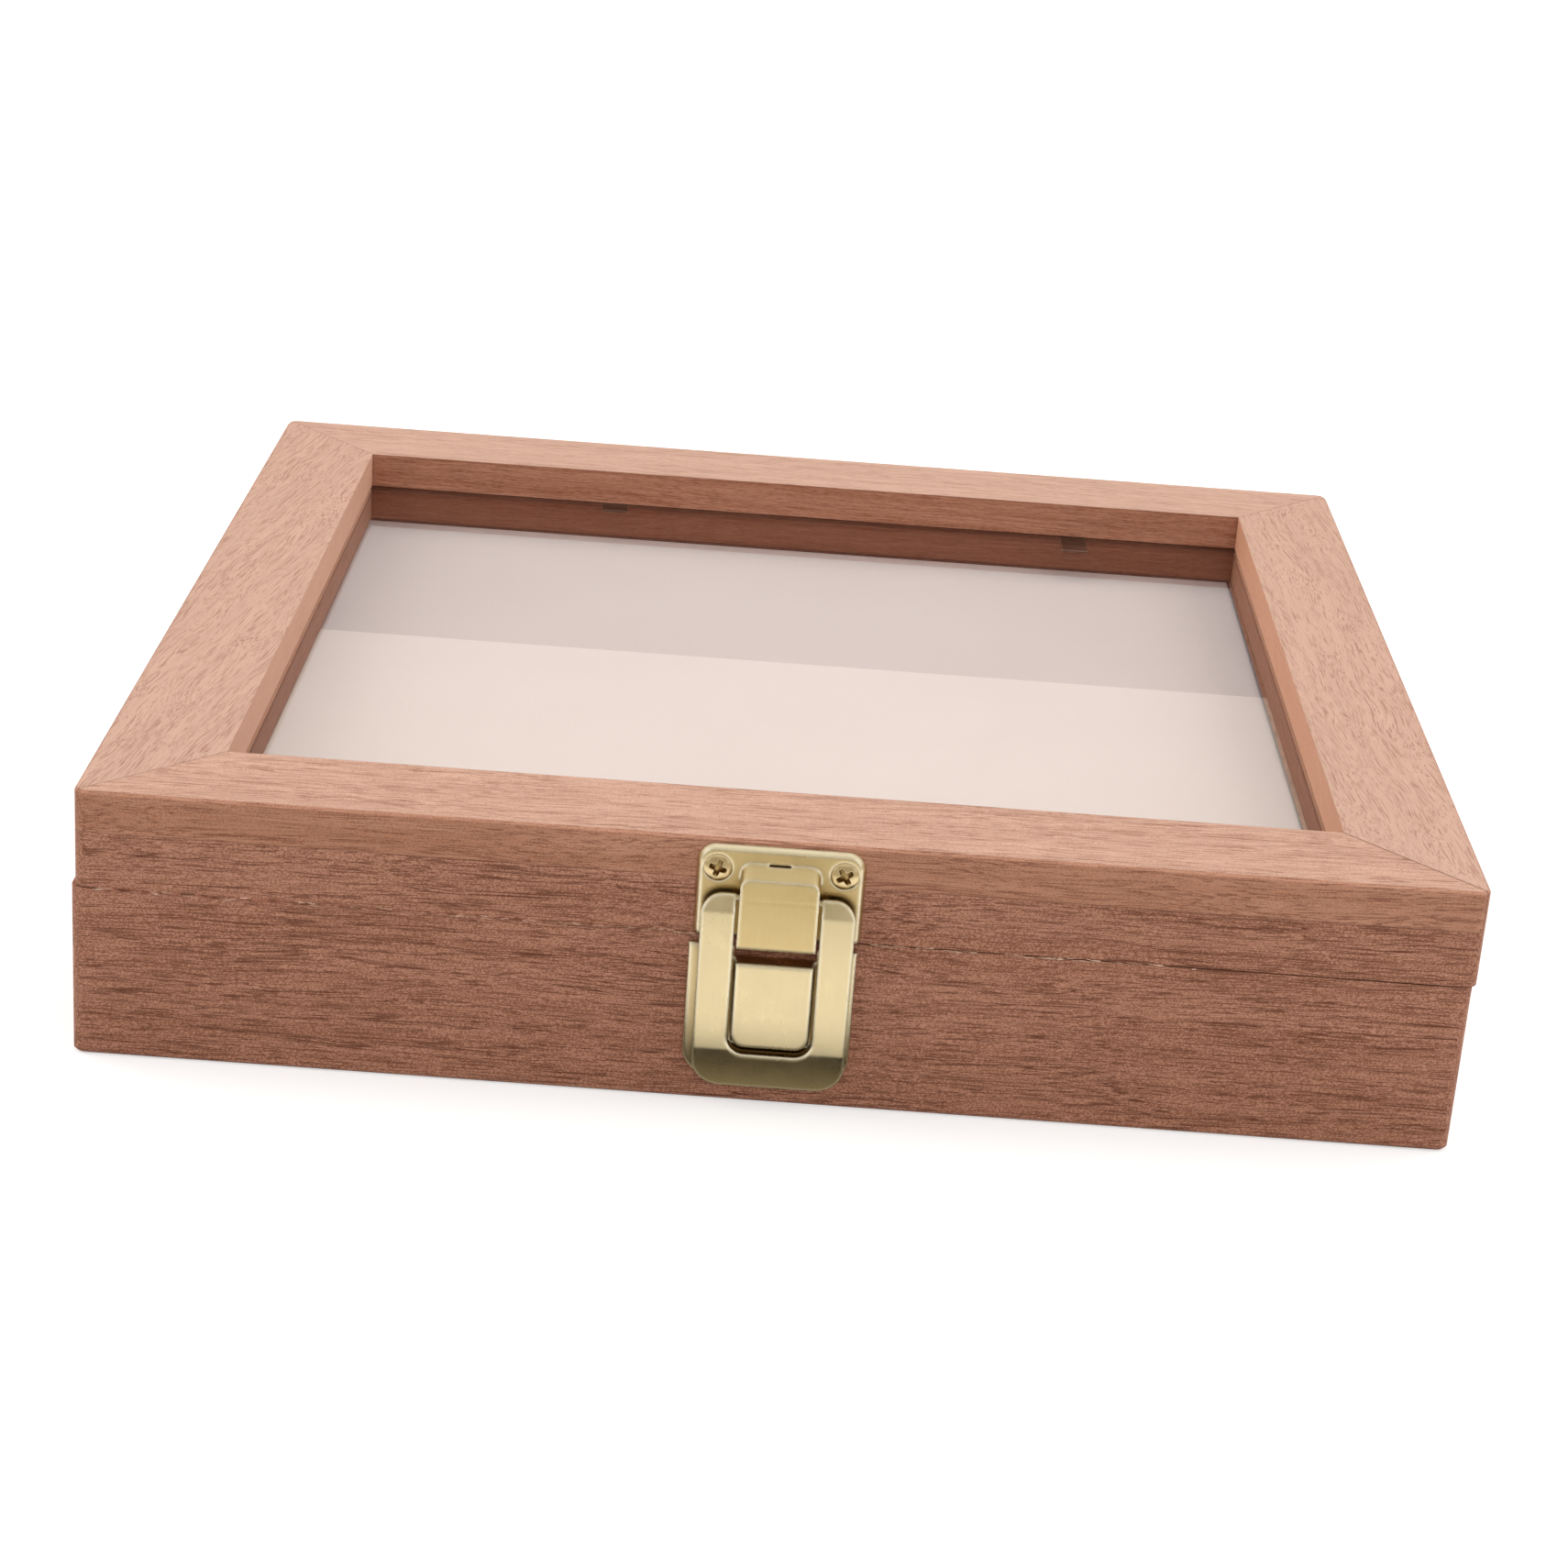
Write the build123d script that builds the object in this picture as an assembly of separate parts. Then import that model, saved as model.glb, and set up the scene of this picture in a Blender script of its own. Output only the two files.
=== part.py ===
from build123d import *
import os

# A wooden display box for jewelry. It has a mitred base with a foam bed, a glazed lid hinged at
# the back, and a brass hasp at the front. Millimetres, +Z up. The underside lies at Z = 0 and the
# front looks towards -Y.

# Base
case_width = 200.0
case_depth = 190.0
base_height = 26.2
base_wall = 18.6
corner_radius = 1.8
base_edge_ease = 0.5
panel_thickness = 3.0
panel_rebate = 6.0
panel_side_gap = 0.1
foam_side_gap = 0.2
foam_corner_radius = 1.5
foam_below_rim = 0.1

# Lid: a ring of four low rims below, a ring of four frame rails on top, and the glass between
parting_gap = 0.2
lid_side_step = 0.5
rail_width = 18.6
rim_height = 8.5
frame_height = 6.2
frame_edge_ease = 0.4
glass_thickness = 3.0
glass_top_gap = 0.05
glass_rebate = 5.0
glass_side_gap = 0.4
point_thickness = 0.4
point_width = 4.7
left_point_from_side = 65.0
left_point_reach = 1.6
right_point_from_side = 48.5
right_point_reach = 5.6

# Hasp: catch plate on the lid, keeper plate on the base, and the swinging ring that joins them
hasp_x = 0.6
catch_width = 23.8
catch_height = 13.6
catch_lift = 0.3
catch_thickness = 0.95
catch_bevel = 0.6
catch_corner = 2.6
catch_screw_spread = 17.9
catch_screw_drop = 3.4
pad_width = 11.2
pad_top_corner = 1.4
pad_face = 3.0
pad_sheet = 0.7
pad_drop = 1.2
pad_rise = 9.4
pad_dome_rise = 1.8
pad_core_width = 9.2
pad_slit_width = 3.1
pad_slit_height = 0.3
pad_slit_shift = -0.2
keeper_width = 24.0
keeper_shift = -0.4
keeper_height = 20.8
keeper_below_rim = 1.2
keeper_thickness = 0.8
keeper_corner = 4.0
keeper_edge = 0.25
hook_width = 11.2
hook_top_drop = 1.8
hook_length = 13.2
hook_corner = 2.0
hook_face = 3.0
hook_sheet = 0.7
hook_edge = 0.25
hook_notch_gap = 0.3
keeper_screw_spread = 17.2
keeper_screw_height = 14.5
keeper_screw_lift = 0.15

# Ring
ring_width = 21.8
ring_bottom = 3.3
ring_lower_bend = 9.6
ring_upper_bend = 31.1
ring_top = 33.6
ring_sheet = 0.7
ring_face = 3.2
ring_foot_face = 1.75
ring_head_face = 2.35
ring_foot_corner = 4.2
ring_head_corner = 3.0
ring_opening_gap = 0.5
ring_opening_bottom = 9.0
ring_opening_corner = 2.6
ring_lip = 0.45
ring_lip_back = 1.5
pivot_out = 1.95
pivot_above_lid_bottom = 6.55
pivot_radius = 0.5
pivot_clearance = 0.07

# Screws
screw_shank_radius = 0.95
screw_head_radius = 2.05
screw_head_height = 0.95
screw_length = 9.5
screw_hole_gap = 0.05
cross_width = 0.6
cross_length = 2.3
cross_depth = 0.7

# Hinges
hinge_from_side = 40.0
hinge_width = 20.0
leaf_height = 9.0
leaf_thickness = 0.8
knuckle_radius = 1.4
knuckle_gap = 0.2
knuckle_wood_gap = 0.1
middle_knuckle = 7.0
hinge_pin_radius = 0.7
hinge_pin_clearance = 0.05
hinge_pin_fit = 0.01
hinge_screw_radius = 0.7
hinge_screw_head = 1.5
hinge_screw_head_height = 0.8
hinge_screw_length = 7.0
hinge_screw_spread = 13.0
hinge_screw_from_edge = 3.2

# Heights and planes that the pieces share
lid_bottom = base_height + parting_gap
rim_top = lid_bottom + rim_height
lid_top = rim_top + frame_height
glass_seat = rim_top - glass_top_gap - glass_thickness
front_face = -case_depth / 2
back_face = case_depth / 2
hinge_height = base_height + parting_gap / 2
hinge_out = knuckle_radius + knuckle_wood_gap
hinge_offset = case_width / 2 - hinge_from_side
pivot_height = lid_bottom + pivot_above_lid_bottom
catch_bottom = lid_bottom + catch_lift
catch_top = catch_bottom + catch_height
catch_screw_height = catch_top - catch_screw_drop
pad_bottom = catch_bottom - pad_drop
pad_top = catch_bottom + pad_rise
pad_dome_top = pad_top + pad_dome_rise
keeper_top = base_height - keeper_below_rim
keeper_bottom = keeper_top - keeper_height
hook_top = keeper_top - hook_top_drop
hook_bottom = hook_top - hook_length

front = Plane(origin=(hasp_x, front_face, 0), x_dir=(1, 0, 0), z_dir=(0, -1, 0))
front_side = Plane(origin=(hasp_x, front_face, 0), x_dir=(0, -1, 0), z_dir=(-1, 0, 0))

os.makedirs("parts", exist_ok=True)


def save(shape, name):
    export_step(shape, "parts/" + name + ".step")
    print(name, len(shape.solids()), round(shape.volume, 2))


def block(width, depth, low, high, centre_x=0.0):
    return Pos(centre_x, 0, (low + high) / 2) * Box(width, depth, high - low)


def rounded_block(width, depth, low, high, radius, centre_x=0.0):
    outline = Plane.XY.offset(low) * Pos(centre_x, 0) * RectangleRounded(width, depth, radius)
    return extrude(outline, amount=high - low)


# One rail of a mitred ring is the part of the ring inside a wedge whose slanted sides run
# through the corners at 45 degrees.
def mitre_wedge(side, rail, low, high, centre_x=0.0):
    half_x = case_width / 2
    half_y = case_depth / 2
    inner_x = half_x - rail - 1.0
    inner_y = half_y - rail - 1.0
    outer_x = half_x + 1.0
    outer_y = half_y + 1.0
    corners = {
        "front": [(-outer_x, -outer_y), (outer_x, -outer_y), (inner_x, -inner_y), (-inner_x, -inner_y)],
        "back": [(outer_x, outer_y), (-outer_x, outer_y), (-inner_x, inner_y), (inner_x, inner_y)],
        "left": [(-outer_x, outer_y), (-outer_x, -outer_y), (-inner_x, -inner_y), (-inner_x, inner_y)],
        "right": [(outer_x, -outer_y), (outer_x, outer_y), (inner_x, inner_y), (inner_x, -inner_y)],
    }
    outline = make_face(Polyline(*corners[side], close=True))
    placed = Plane.XY.offset(low - 1.0) * Pos(centre_x, 0) * outline
    return extrude(placed, amount=high - low + 2.0)


# A countersunk screw: a cone under the flat head runs into the shank.
def screw(shank_radius, head_radius, head_height, length):
    profile = Polyline(
        (0, 0),
        (head_radius, 0),
        (shank_radius, -head_height),
        (shank_radius, -length),
        (0, -length),
        close=True,
    )
    return revolve(Plane.XZ * make_face(profile), axis=Axis.Z)


# The hole that a screw takes up in its plate and in the wood is a little larger all over.
def screw_hole(shank_radius, head_radius, head_height, length):
    profile = Polyline(
        (0, 0.5),
        (head_radius + screw_hole_gap, 0.5),
        (head_radius + screw_hole_gap, 0),
        (shank_radius + screw_hole_gap, -head_height),
        (shank_radius + screw_hole_gap, -length - 0.5),
        (0, -length - 0.5),
        close=True,
    )
    return revolve(Plane.XZ * make_face(profile), axis=Axis.Z)


def cross_recess():
    slot = Box(cross_length, cross_width, 2 * cross_depth)
    return slot + Rot(0, 0, 90) * slot


# Screws of the hasp. Each place is the point in the middle of the screw head's top.
catch_screw_places = [
    front * Pos(side * catch_screw_spread / 2, catch_screw_height, catch_thickness)
    for side in (-1, 1)
]
keeper_screw_places = [
    front * Pos(side * keeper_screw_spread / 2, keeper_screw_height, keeper_thickness + keeper_screw_lift)
    for side in (-1, 1)
]
hasp_screw = screw(screw_shank_radius, screw_head_radius, screw_head_height, screw_length)
hasp_screw_hole = screw_hole(screw_shank_radius, screw_head_radius, screw_head_height, screw_length)
crossed_screw = hasp_screw - cross_recess()
catch_screws = [place * crossed_screw for place in catch_screw_places]
keeper_screws = [place * hasp_screw for place in keeper_screw_places]
catch_holes = [place * hasp_screw_hole for place in catch_screw_places]
keeper_holes = [place * hasp_screw_hole for place in keeper_screw_places]


# Hinges. The lid leaf carries the middle knuckle, and the base leaf the outer two.
def hinge_leaf(centre_x, upward):
    leaf_start = knuckle_radius + knuckle_gap
    leaf_end = leaf_start + leaf_height
    plane = Plane(origin=(centre_x, back_face, hinge_height), x_dir=(-1, 0, 0), z_dir=(0, 1, 0))
    middle_z = upward * (leaf_start + leaf_end) / 2
    sheet = plane * Pos(0, middle_z) * Rectangle(hinge_width, leaf_height)
    leaf = extrude(sheet, amount=leaf_thickness)
    if upward > 0:
        spans = [(-middle_knuckle / 2, middle_knuckle / 2)]
        bore = hinge_pin_radius + hinge_pin_clearance
    else:
        inner = middle_knuckle / 2 + knuckle_gap
        spans = [(-hinge_width / 2, -inner), (inner, hinge_width / 2)]
        bore = hinge_pin_radius + hinge_pin_fit
    axis_place = Pos(centre_x, back_face + hinge_out, hinge_height)
    for low, high in spans:
        barrel_place = axis_place * Pos((low + high) / 2, 0, 0) * Rot(0, 90, 0)
        barrel = barrel_place * Cylinder(knuckle_radius, high - low)
        web_height = leaf_start
        web_place = Pos(
            centre_x + (low + high) / 2,
            back_face + knuckle_wood_gap + (leaf_thickness - knuckle_wood_gap) / 2,
            hinge_height + upward * web_height / 2,
        )
        web = web_place * Box(high - low, leaf_thickness - knuckle_wood_gap, web_height)
        leaf = leaf + barrel + web
    leaf = leaf - axis_place * Rot(0, 90, 0) * Cylinder(bore, hinge_width + 1.0)
    return leaf


hinge_leaves = {}
hinge_pins = {}
hinge_screws = {}
hinge_holes = {"lid": [], "base": []}
small_screw = screw(hinge_screw_radius, hinge_screw_head, hinge_screw_head_height, hinge_screw_length)
small_hole = screw_hole(hinge_screw_radius, hinge_screw_head, hinge_screw_head_height, hinge_screw_length)
for hinge, centre_x in (("left", -hinge_offset), ("right", hinge_offset)):
    pin_place = Pos(centre_x, back_face + hinge_out, hinge_height) * Rot(0, 90, 0)
    hinge_pins[hinge] = pin_place * Cylinder(hinge_pin_radius, hinge_width)
    for body, upward in (("lid", 1), ("base", -1)):
        height = knuckle_radius + knuckle_gap + leaf_height - hinge_screw_from_edge
        plane = Plane(
            origin=(centre_x, back_face + leaf_thickness, hinge_height + upward * height),
            x_dir=(-1, 0, 0),
            z_dir=(0, 1, 0),
        )
        places = [plane * Pos(side * hinge_screw_spread / 2, 0, 0) for side in (-1, 1)]
        holes = [place * small_hole for place in places]
        hinge_holes[body] += holes
        hinge_screws[hinge, body] = [place * small_screw for place in places]
        hinge_leaves[hinge, body] = hinge_leaf(centre_x, upward) - holes

for key, leaf in hinge_leaves.items():
    save(leaf, "hinge_" + key[0] + "_" + key[1] + "_leaf")
for key, screws in hinge_screws.items():
    save(Compound(children=screws), "hinge_" + key[0] + "_" + key[1] + "_screws")
for key, pin in hinge_pins.items():
    save(pin, "hinge_" + key + "_pin")

# Base rails: solid mitred boards with a rebate for the bottom panel.
well_width = case_width - 2 * base_wall
well_depth = case_depth - 2 * base_wall
base_ring = rounded_block(case_width, case_depth, 0, base_height, corner_radius)
base_ring = chamfer(base_ring.faces().sort_by(Axis.Z)[0].edges(), base_edge_ease)
base_ring = base_ring - block(well_width, well_depth, -1, base_height + 1)
panel_width = well_width + 2 * panel_rebate
panel_depth = well_depth + 2 * panel_rebate
base_ring = base_ring - block(panel_width, panel_depth, -1, panel_thickness)
base_ring = base_ring - keeper_holes - hinge_holes["base"]
for side in ("front", "back", "left", "right"):
    rail = base_ring & mitre_wedge(side, base_wall, 0, base_height)
    save(rail, "base_" + side)

panel = block(panel_width - 2 * panel_side_gap, panel_depth - 2 * panel_side_gap, 0, panel_thickness)
save(panel, "bottom_panel")

foam = rounded_block(
    well_width - 2 * foam_side_gap,
    well_depth - 2 * foam_side_gap,
    panel_thickness,
    base_height - foam_below_rim,
    foam_corner_radius,
)
save(foam, "foam_liner")

# Lid rims: the lower half of the lid, with a rebate that carries the glass.
window_width = case_width - 2 * rail_width
window_depth = case_depth - 2 * rail_width
rim_ring = rounded_block(case_width, case_depth, lid_bottom, rim_top, corner_radius, lid_side_step)
rim_ring = rim_ring - block(window_width, window_depth, lid_bottom - 1, rim_top + 1, lid_side_step)
seat_width = window_width + 2 * glass_rebate
seat_depth = window_depth + 2 * glass_rebate
rim_ring = rim_ring - block(seat_width, seat_depth, glass_seat, rim_top + 1, lid_side_step)

# Retaining points: thin steel tabs let into the back rim, just under the glass.
points = []
point_places = [
    (left_point_from_side - case_width / 2, left_point_reach),
    (case_width / 2 - right_point_from_side, right_point_reach),
]
for place_x, reach in point_places:
    tail = glass_rebate - glass_side_gap
    middle_y = back_face - rail_width + (tail - reach) / 2
    place = Pos(place_x, middle_y, glass_seat - point_thickness / 2)
    points.append(place * Box(point_width, tail + reach, point_thickness))
rim_ring = rim_ring - points - hinge_holes["lid"] - catch_holes
for side in ("front", "back", "left", "right"):
    rail = rim_ring & mitre_wedge(side, rail_width, lid_bottom, rim_top, lid_side_step)
    save(rail, "lid_rim_" + side)
save(Compound(children=points), "glass_points")

glass = block(
    seat_width - 2 * glass_side_gap,
    seat_depth - 2 * glass_side_gap,
    glass_seat,
    glass_seat + glass_thickness,
    lid_side_step,
)
save(glass, "glass_pane")

# Lid frame: the upper half of the lid, with eased outer edges and a crisp window.
frame_ring = rounded_block(case_width, case_depth, rim_top, lid_top, corner_radius, lid_side_step)
frame_ring = chamfer(frame_ring.faces().sort_by(Axis.Z)[-1].edges(), frame_edge_ease)
frame_ring = frame_ring - block(window_width, window_depth, rim_top - 1, lid_top + 1, lid_side_step)
frame_ring = frame_ring - catch_holes - hinge_holes["lid"]
for side in ("front", "back", "left", "right"):
    rail = frame_ring & mitre_wedge(side, rail_width, rim_top, lid_top, lid_side_step)
    save(rail, "lid_frame_" + side)

# Catch plate: a bevelled plate whose middle strip is raised into a pad that holds the ring's
# pivot bar.
catch_outline = RectangleRounded(catch_width, 2 * catch_height, catch_corner)
upper_half = Pos(0, catch_height / 2) * Rectangle(catch_width + 1.0, catch_height)
catch_sketch = front * Pos(0, catch_bottom) * (catch_outline & upper_half)
catch = extrude(catch_sketch, amount=catch_thickness)
catch_face = catch.faces().sort_by(Axis.Y)[0]
bevel_edges = catch_face.edges().filter_by(lambda edge: edge.center().Z > catch_bottom + 0.1)
catch = chamfer(bevel_edges, catch_thickness - 0.25, catch_bevel)


def pad_outline(top, corner):
    full = RectangleRounded(pad_width, 2 * (top - pad_bottom), corner)
    half = Pos(0, (top - pad_bottom) / 2) * Rectangle(pad_width + 1.0, top - pad_bottom)
    return Pos(0, pad_bottom) * (full & half)


pad_foot = front.offset(catch_thickness) * pad_outline(pad_dome_top, pad_top_corner)
pad_head = front.offset(pad_face) * pad_outline(pad_top, pad_top_corner)
pad = loft([pad_foot.face(), pad_head.face()])
pad_skirt = front.offset(0.25) * Pos(0, (pad_bottom + catch_bottom + 1.0) / 2)
pad_skirt = pad_skirt * Rectangle(pad_width, catch_bottom + 1.0 - pad_bottom)
pad = pad + extrude(pad_skirt, amount=catch_thickness - 0.25)
side_hollow_depth = (pad_width - pad_core_width) / 2
hollow_low = pad_bottom + pad_sheet
hollow_high = pad_top - pad_sheet
for side in (-1, 1):
    hollow_place = front.offset(catch_thickness)
    hollow_x = side * (pad_width - side_hollow_depth) / 2
    hollow = hollow_place * Pos(hollow_x, (hollow_low + hollow_high) / 2)
    hollow = hollow * Rectangle(side_hollow_depth + 0.001, hollow_high - hollow_low)
    pad = pad - extrude(hollow, amount=pad_face - pad_sheet - catch_thickness)
pivot_place = Pos(hasp_x, front_face - pivot_out, pivot_height) * Rot(0, 90, 0)
pad = pad - pivot_place * Cylinder(pivot_radius + pivot_clearance, pad_width + 1.0)
pad_slit = front * Pos(pad_slit_shift, pad_dome_top - pad_slit_height / 2)
pad_slit = pad_slit * Rectangle(pad_slit_width, pad_slit_height)
catch = catch + pad - catch_holes - extrude(pad_slit, amount=pad_face)
save(catch, "catch_plate")
save(Compound(children=catch_screws), "catch_screws")

# Keeper plate: a flat plate with a hook lanced out of it, which leaves a hole behind the hook and
# a notch over it. The ring drops over the hook.
keeper_outline = RectangleRounded(keeper_width, 2 * keeper_height, keeper_corner)
lower_half = Pos(0, -keeper_height / 2) * Rectangle(keeper_width + 1.0, keeper_height)
keeper_sketch = front * Pos(keeper_shift, keeper_top) * (keeper_outline & lower_half)
keeper = extrude(keeper_sketch, amount=keeper_thickness)
keeper = chamfer(keeper.faces().sort_by(Axis.Y)[0].edges(), keeper_edge)
hook_outline = RectangleRounded(hook_width, 2 * hook_length, hook_corner)
hook_half = Pos(0, -hook_length / 2) * Rectangle(hook_width + 1.0, hook_length)
hook_sketch = front.offset(keeper_thickness) * Pos(0, hook_top) * (hook_outline & hook_half)
hook = extrude(hook_sketch, amount=hook_face - keeper_thickness)
hook = chamfer(hook.faces().sort_by(Axis.Y)[0].edges(), hook_edge)
hook_hollow = front.offset(keeper_thickness) * Pos(0, hook_top - hook_sheet - hook_length)
hook_hollow = hook_hollow * Rectangle(hook_width + 1.0, 2 * hook_length)
hook = hook - extrude(hook_hollow, amount=hook_face - hook_sheet - keeper_thickness)
notch_width = hook_width + 2 * hook_notch_gap
notch_height = keeper_top - hook_top
notch = front * Pos(0, hook_top + notch_height) * Rectangle(notch_width, 2 * notch_height)
lanced_height = hook_length - hook_sheet
lanced = front * Pos(0, hook_top - hook_sheet - lanced_height / 2)
lanced = lanced * Rectangle(hook_width, lanced_height)
keeper = keeper - extrude(notch, amount=keeper_thickness) - extrude(lanced, amount=keeper_thickness)
keeper = keeper + hook - keeper_holes
save(keeper, "keeper_plate")
save(Compound(children=keeper_screws), "keeper_screws")

# Ring: a stamped frame with a slanted foot, a head bent back to the pivot bar, and a lip turned
# in around its opening.
ring_profile = Polyline(
    (ring_foot_face, ring_bottom),
    (ring_face, ring_lower_bend),
    (ring_face, ring_upper_bend),
    (ring_head_face, ring_top),
    (ring_head_face - ring_sheet, ring_top),
    (ring_face - ring_sheet, ring_upper_bend),
    (ring_face - ring_sheet, ring_lower_bend),
    (ring_foot_face - ring_sheet, ring_bottom),
    close=True,
)
ring = extrude(front_side * make_face(ring_profile), amount=ring_width / 2, both=True)
ring_length = ring_top - ring_bottom
ring_middle = (ring_top + ring_bottom) / 2
plan = Pos(0, ring_middle) * Rectangle(ring_width, ring_length)
foot_corners = plan.vertices().group_by(Axis.Y)[0]
plan = fillet(foot_corners, ring_foot_corner)
head_corners = plan.vertices().group_by(Axis.Y)[-1]
plan = fillet(head_corners, ring_head_corner)
ring = ring & extrude(front * plan, amount=ring_face + 1.0)
opening_width = hook_width + 2 * ring_opening_gap
opening_height = ring_top + 1.0 - ring_opening_bottom


def ring_opening(grow):
    full_width = opening_width + 2 * grow
    outline = RectangleRounded(full_width, 2 * (opening_height + grow), ring_opening_corner + grow)
    half = Pos(0, -(opening_height + grow) / 2) * Rectangle(full_width + 1.0, opening_height + grow)
    return Pos(0, ring_opening_bottom + opening_height) * (outline & half)


lip_band = front.offset(ring_lip_back) * (ring_opening(ring_lip) - ring_opening(0))
lip_solid = extrude(lip_band, amount=ring_face - ring_lip_back)
lip_limit = front * Pos(0, (ring_opening_bottom + ring_upper_bend) / 2 - 1.5)
lip_limit = lip_limit * Rectangle(ring_width, ring_upper_bend - ring_opening_bottom)
lip = lip_solid & extrude(lip_limit, amount=ring_face + 1.0)
ring = ring - extrude(front * ring_opening(0), amount=ring_face + 1.0)
ring = ring + lip
pivot_bar = pivot_place * Cylinder(pivot_radius, opening_width + 2 * ring_sheet)
ring = ring + pivot_bar
save(ring, "hasp_ring")
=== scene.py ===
# %% [markdown]
# A small display box of reddish hardwood, seen from the front and a little above. The lid is a
# window of glass in a mitred frame, the bed is a pad of foam, and a pressed brass hasp holds the
# lid. The CAD model has every solid piece, so this lesson loads it as a fixed frame and gives each
# piece its finish. It adds only what CAD leaves out: soft foam, domed screw heads, the ground
# edges of the glass, torn fibres and a stray thread.

import math
import random

import bmesh
import bpy
from mathutils import Matrix, Vector, noise


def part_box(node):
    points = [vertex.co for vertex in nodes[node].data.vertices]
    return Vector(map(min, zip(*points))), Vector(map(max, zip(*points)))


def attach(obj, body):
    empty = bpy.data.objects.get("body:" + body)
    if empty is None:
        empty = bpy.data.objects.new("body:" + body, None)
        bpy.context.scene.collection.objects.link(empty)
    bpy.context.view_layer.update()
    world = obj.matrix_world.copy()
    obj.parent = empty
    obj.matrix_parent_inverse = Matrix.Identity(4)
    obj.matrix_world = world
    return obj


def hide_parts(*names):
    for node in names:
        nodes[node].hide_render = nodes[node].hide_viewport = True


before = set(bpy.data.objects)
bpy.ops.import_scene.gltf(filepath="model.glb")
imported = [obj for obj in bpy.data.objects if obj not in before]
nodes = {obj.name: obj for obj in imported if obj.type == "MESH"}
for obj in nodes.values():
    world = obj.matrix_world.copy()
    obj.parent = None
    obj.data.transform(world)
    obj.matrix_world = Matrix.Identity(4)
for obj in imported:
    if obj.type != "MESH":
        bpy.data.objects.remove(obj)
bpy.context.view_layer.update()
MM = 0.001

# %% [markdown]
# The photograph was taken with a long lens, a little more than half a metre away, looking down at
# the box and tipped a few degrees. A camera is easiest to trust when it is written as the
# photographer would say it: what it points at, from which side, how high, how far, how tilted.
# The matrix is then built from those five values, because Blender's own track-to tools leave out
# the tilt.

# %% The camera
aim = Vector((0.25, -22.58, 20.6)) * MM
turn = math.radians(-0.17)
height = math.radians(22.0)
tilt = math.radians(4.23)
distance = 546.9 * MM
lens = 77.24

back = Vector((math.sin(turn) * math.cos(height), -math.cos(turn) * math.cos(height), math.sin(height)))
level_right = Vector((math.cos(turn), math.sin(turn), 0.0))
level_up = back.cross(level_right)
right = level_right * math.cos(tilt) + level_up * math.sin(tilt)
up = level_up * math.cos(tilt) - level_right * math.sin(tilt)

camera = bpy.data.objects.new("camera", bpy.data.cameras.new("camera"))
camera.data.sensor_width = 36.0
camera.data.lens = lens
tipped = Matrix((right, up, back)).transposed().to_4x4()
camera.matrix_world = Matrix.Translation(aim + back * distance) @ tipped
bpy.context.collection.objects.link(camera)
bpy.context.scene.camera = camera
print("camera at", [round(v, 3) for v in camera.matrix_world.translation])

# %% [markdown]
# Materials and lights below are made of shader nodes, and a few short helpers keep that readable.
# They add a node, do a sum, spread a range of values over another one, blend two colours, and
# start a material with its surface shader. An input of a node is either linked to a socket or set
# to a plain value, and one helper does both. The view transform is Standard, so a colour in a
# material is the colour in the picture.

# %% Helpers for nodes
bpy.context.scene.view_settings.view_transform = "Standard"


def is_socket(value):
    return isinstance(value, bpy.types.NodeSocket)


def fill(tree, node, inputs):
    """Links a node's inputs to the sockets given for them, and sets the others to plain values."""
    for name, value in inputs.items():
        if is_socket(value):
            tree.links.new(value, node.inputs[name])
        else:
            node.inputs[name].default_value = value


def add(tree, kind, inputs=None, **settings):
    made = tree.nodes.new("ShaderNode" + kind)
    for name, value in settings.items():
        setattr(made, name, value)
    fill(tree, made, inputs or {})
    return made


def calc(tree, operation, first, second=0.0, clamp=False):
    return add(tree, "Math", {0: first, 1: second}, operation=operation, use_clamp=clamp).outputs[0]


def vector_calc(tree, operation, first, second):
    return add(tree, "VectorMath", {0: first, 1: second}, operation=operation).outputs[0]


def distance_to(tree, value, target):
    """How far a value is from a target, either way."""
    return calc(tree, "ABSOLUTE", calc(tree, "SUBTRACT", value, target))


def remap(tree, value, low, high, to_low=0.0, to_high=1.0, smooth=True):
    ends = {"Value": value, "From Min": low, "From Max": high, "To Min": to_low, "To Max": to_high}
    kind = "SMOOTHSTEP" if smooth else "LINEAR"
    return add(tree, "MapRange", ends, interpolation_type=kind).outputs[0]


def opaque(colour):
    """Three numbers with a 1 after them, as a colour input wants. A socket stays as it is."""
    return colour if is_socket(colour) else (*colour, 1.0)


def blended(tree, factor, first, second):
    """A colour between two others. The Mix node keeps its two colours in inputs 6 and 7."""
    ends = {"Factor": factor, 6: opaque(first), 7: opaque(second)}
    return add(tree, "Mix", ends, data_type="RGBA").outputs[2]


def empty_material(name):
    made = bpy.data.materials.new(name)
    made.use_nodes = True
    made.node_tree.nodes.clear()
    return made, made.node_tree


def new_material(name, **surface):
    """A material with its surface shader, whose socket names are given with _ for a space."""
    made, tree = empty_material(name)
    values = {key.replace("_", " "): value for key, value in surface.items()}
    shader = add(tree, "BsdfPrincipled", values)
    add(tree, "OutputMaterial", {"Surface": shader.outputs[0]})
    return made, tree, shader


def finish_node(name, material):
    slots = nodes[name].material_slots
    for slot in slots:
        slot.link = "OBJECT"
        slot.material = material
    if not slots:
        nodes[name].data.materials.append(material)


print("view transform:", bpy.context.scene.view_settings.view_transform)

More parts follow.
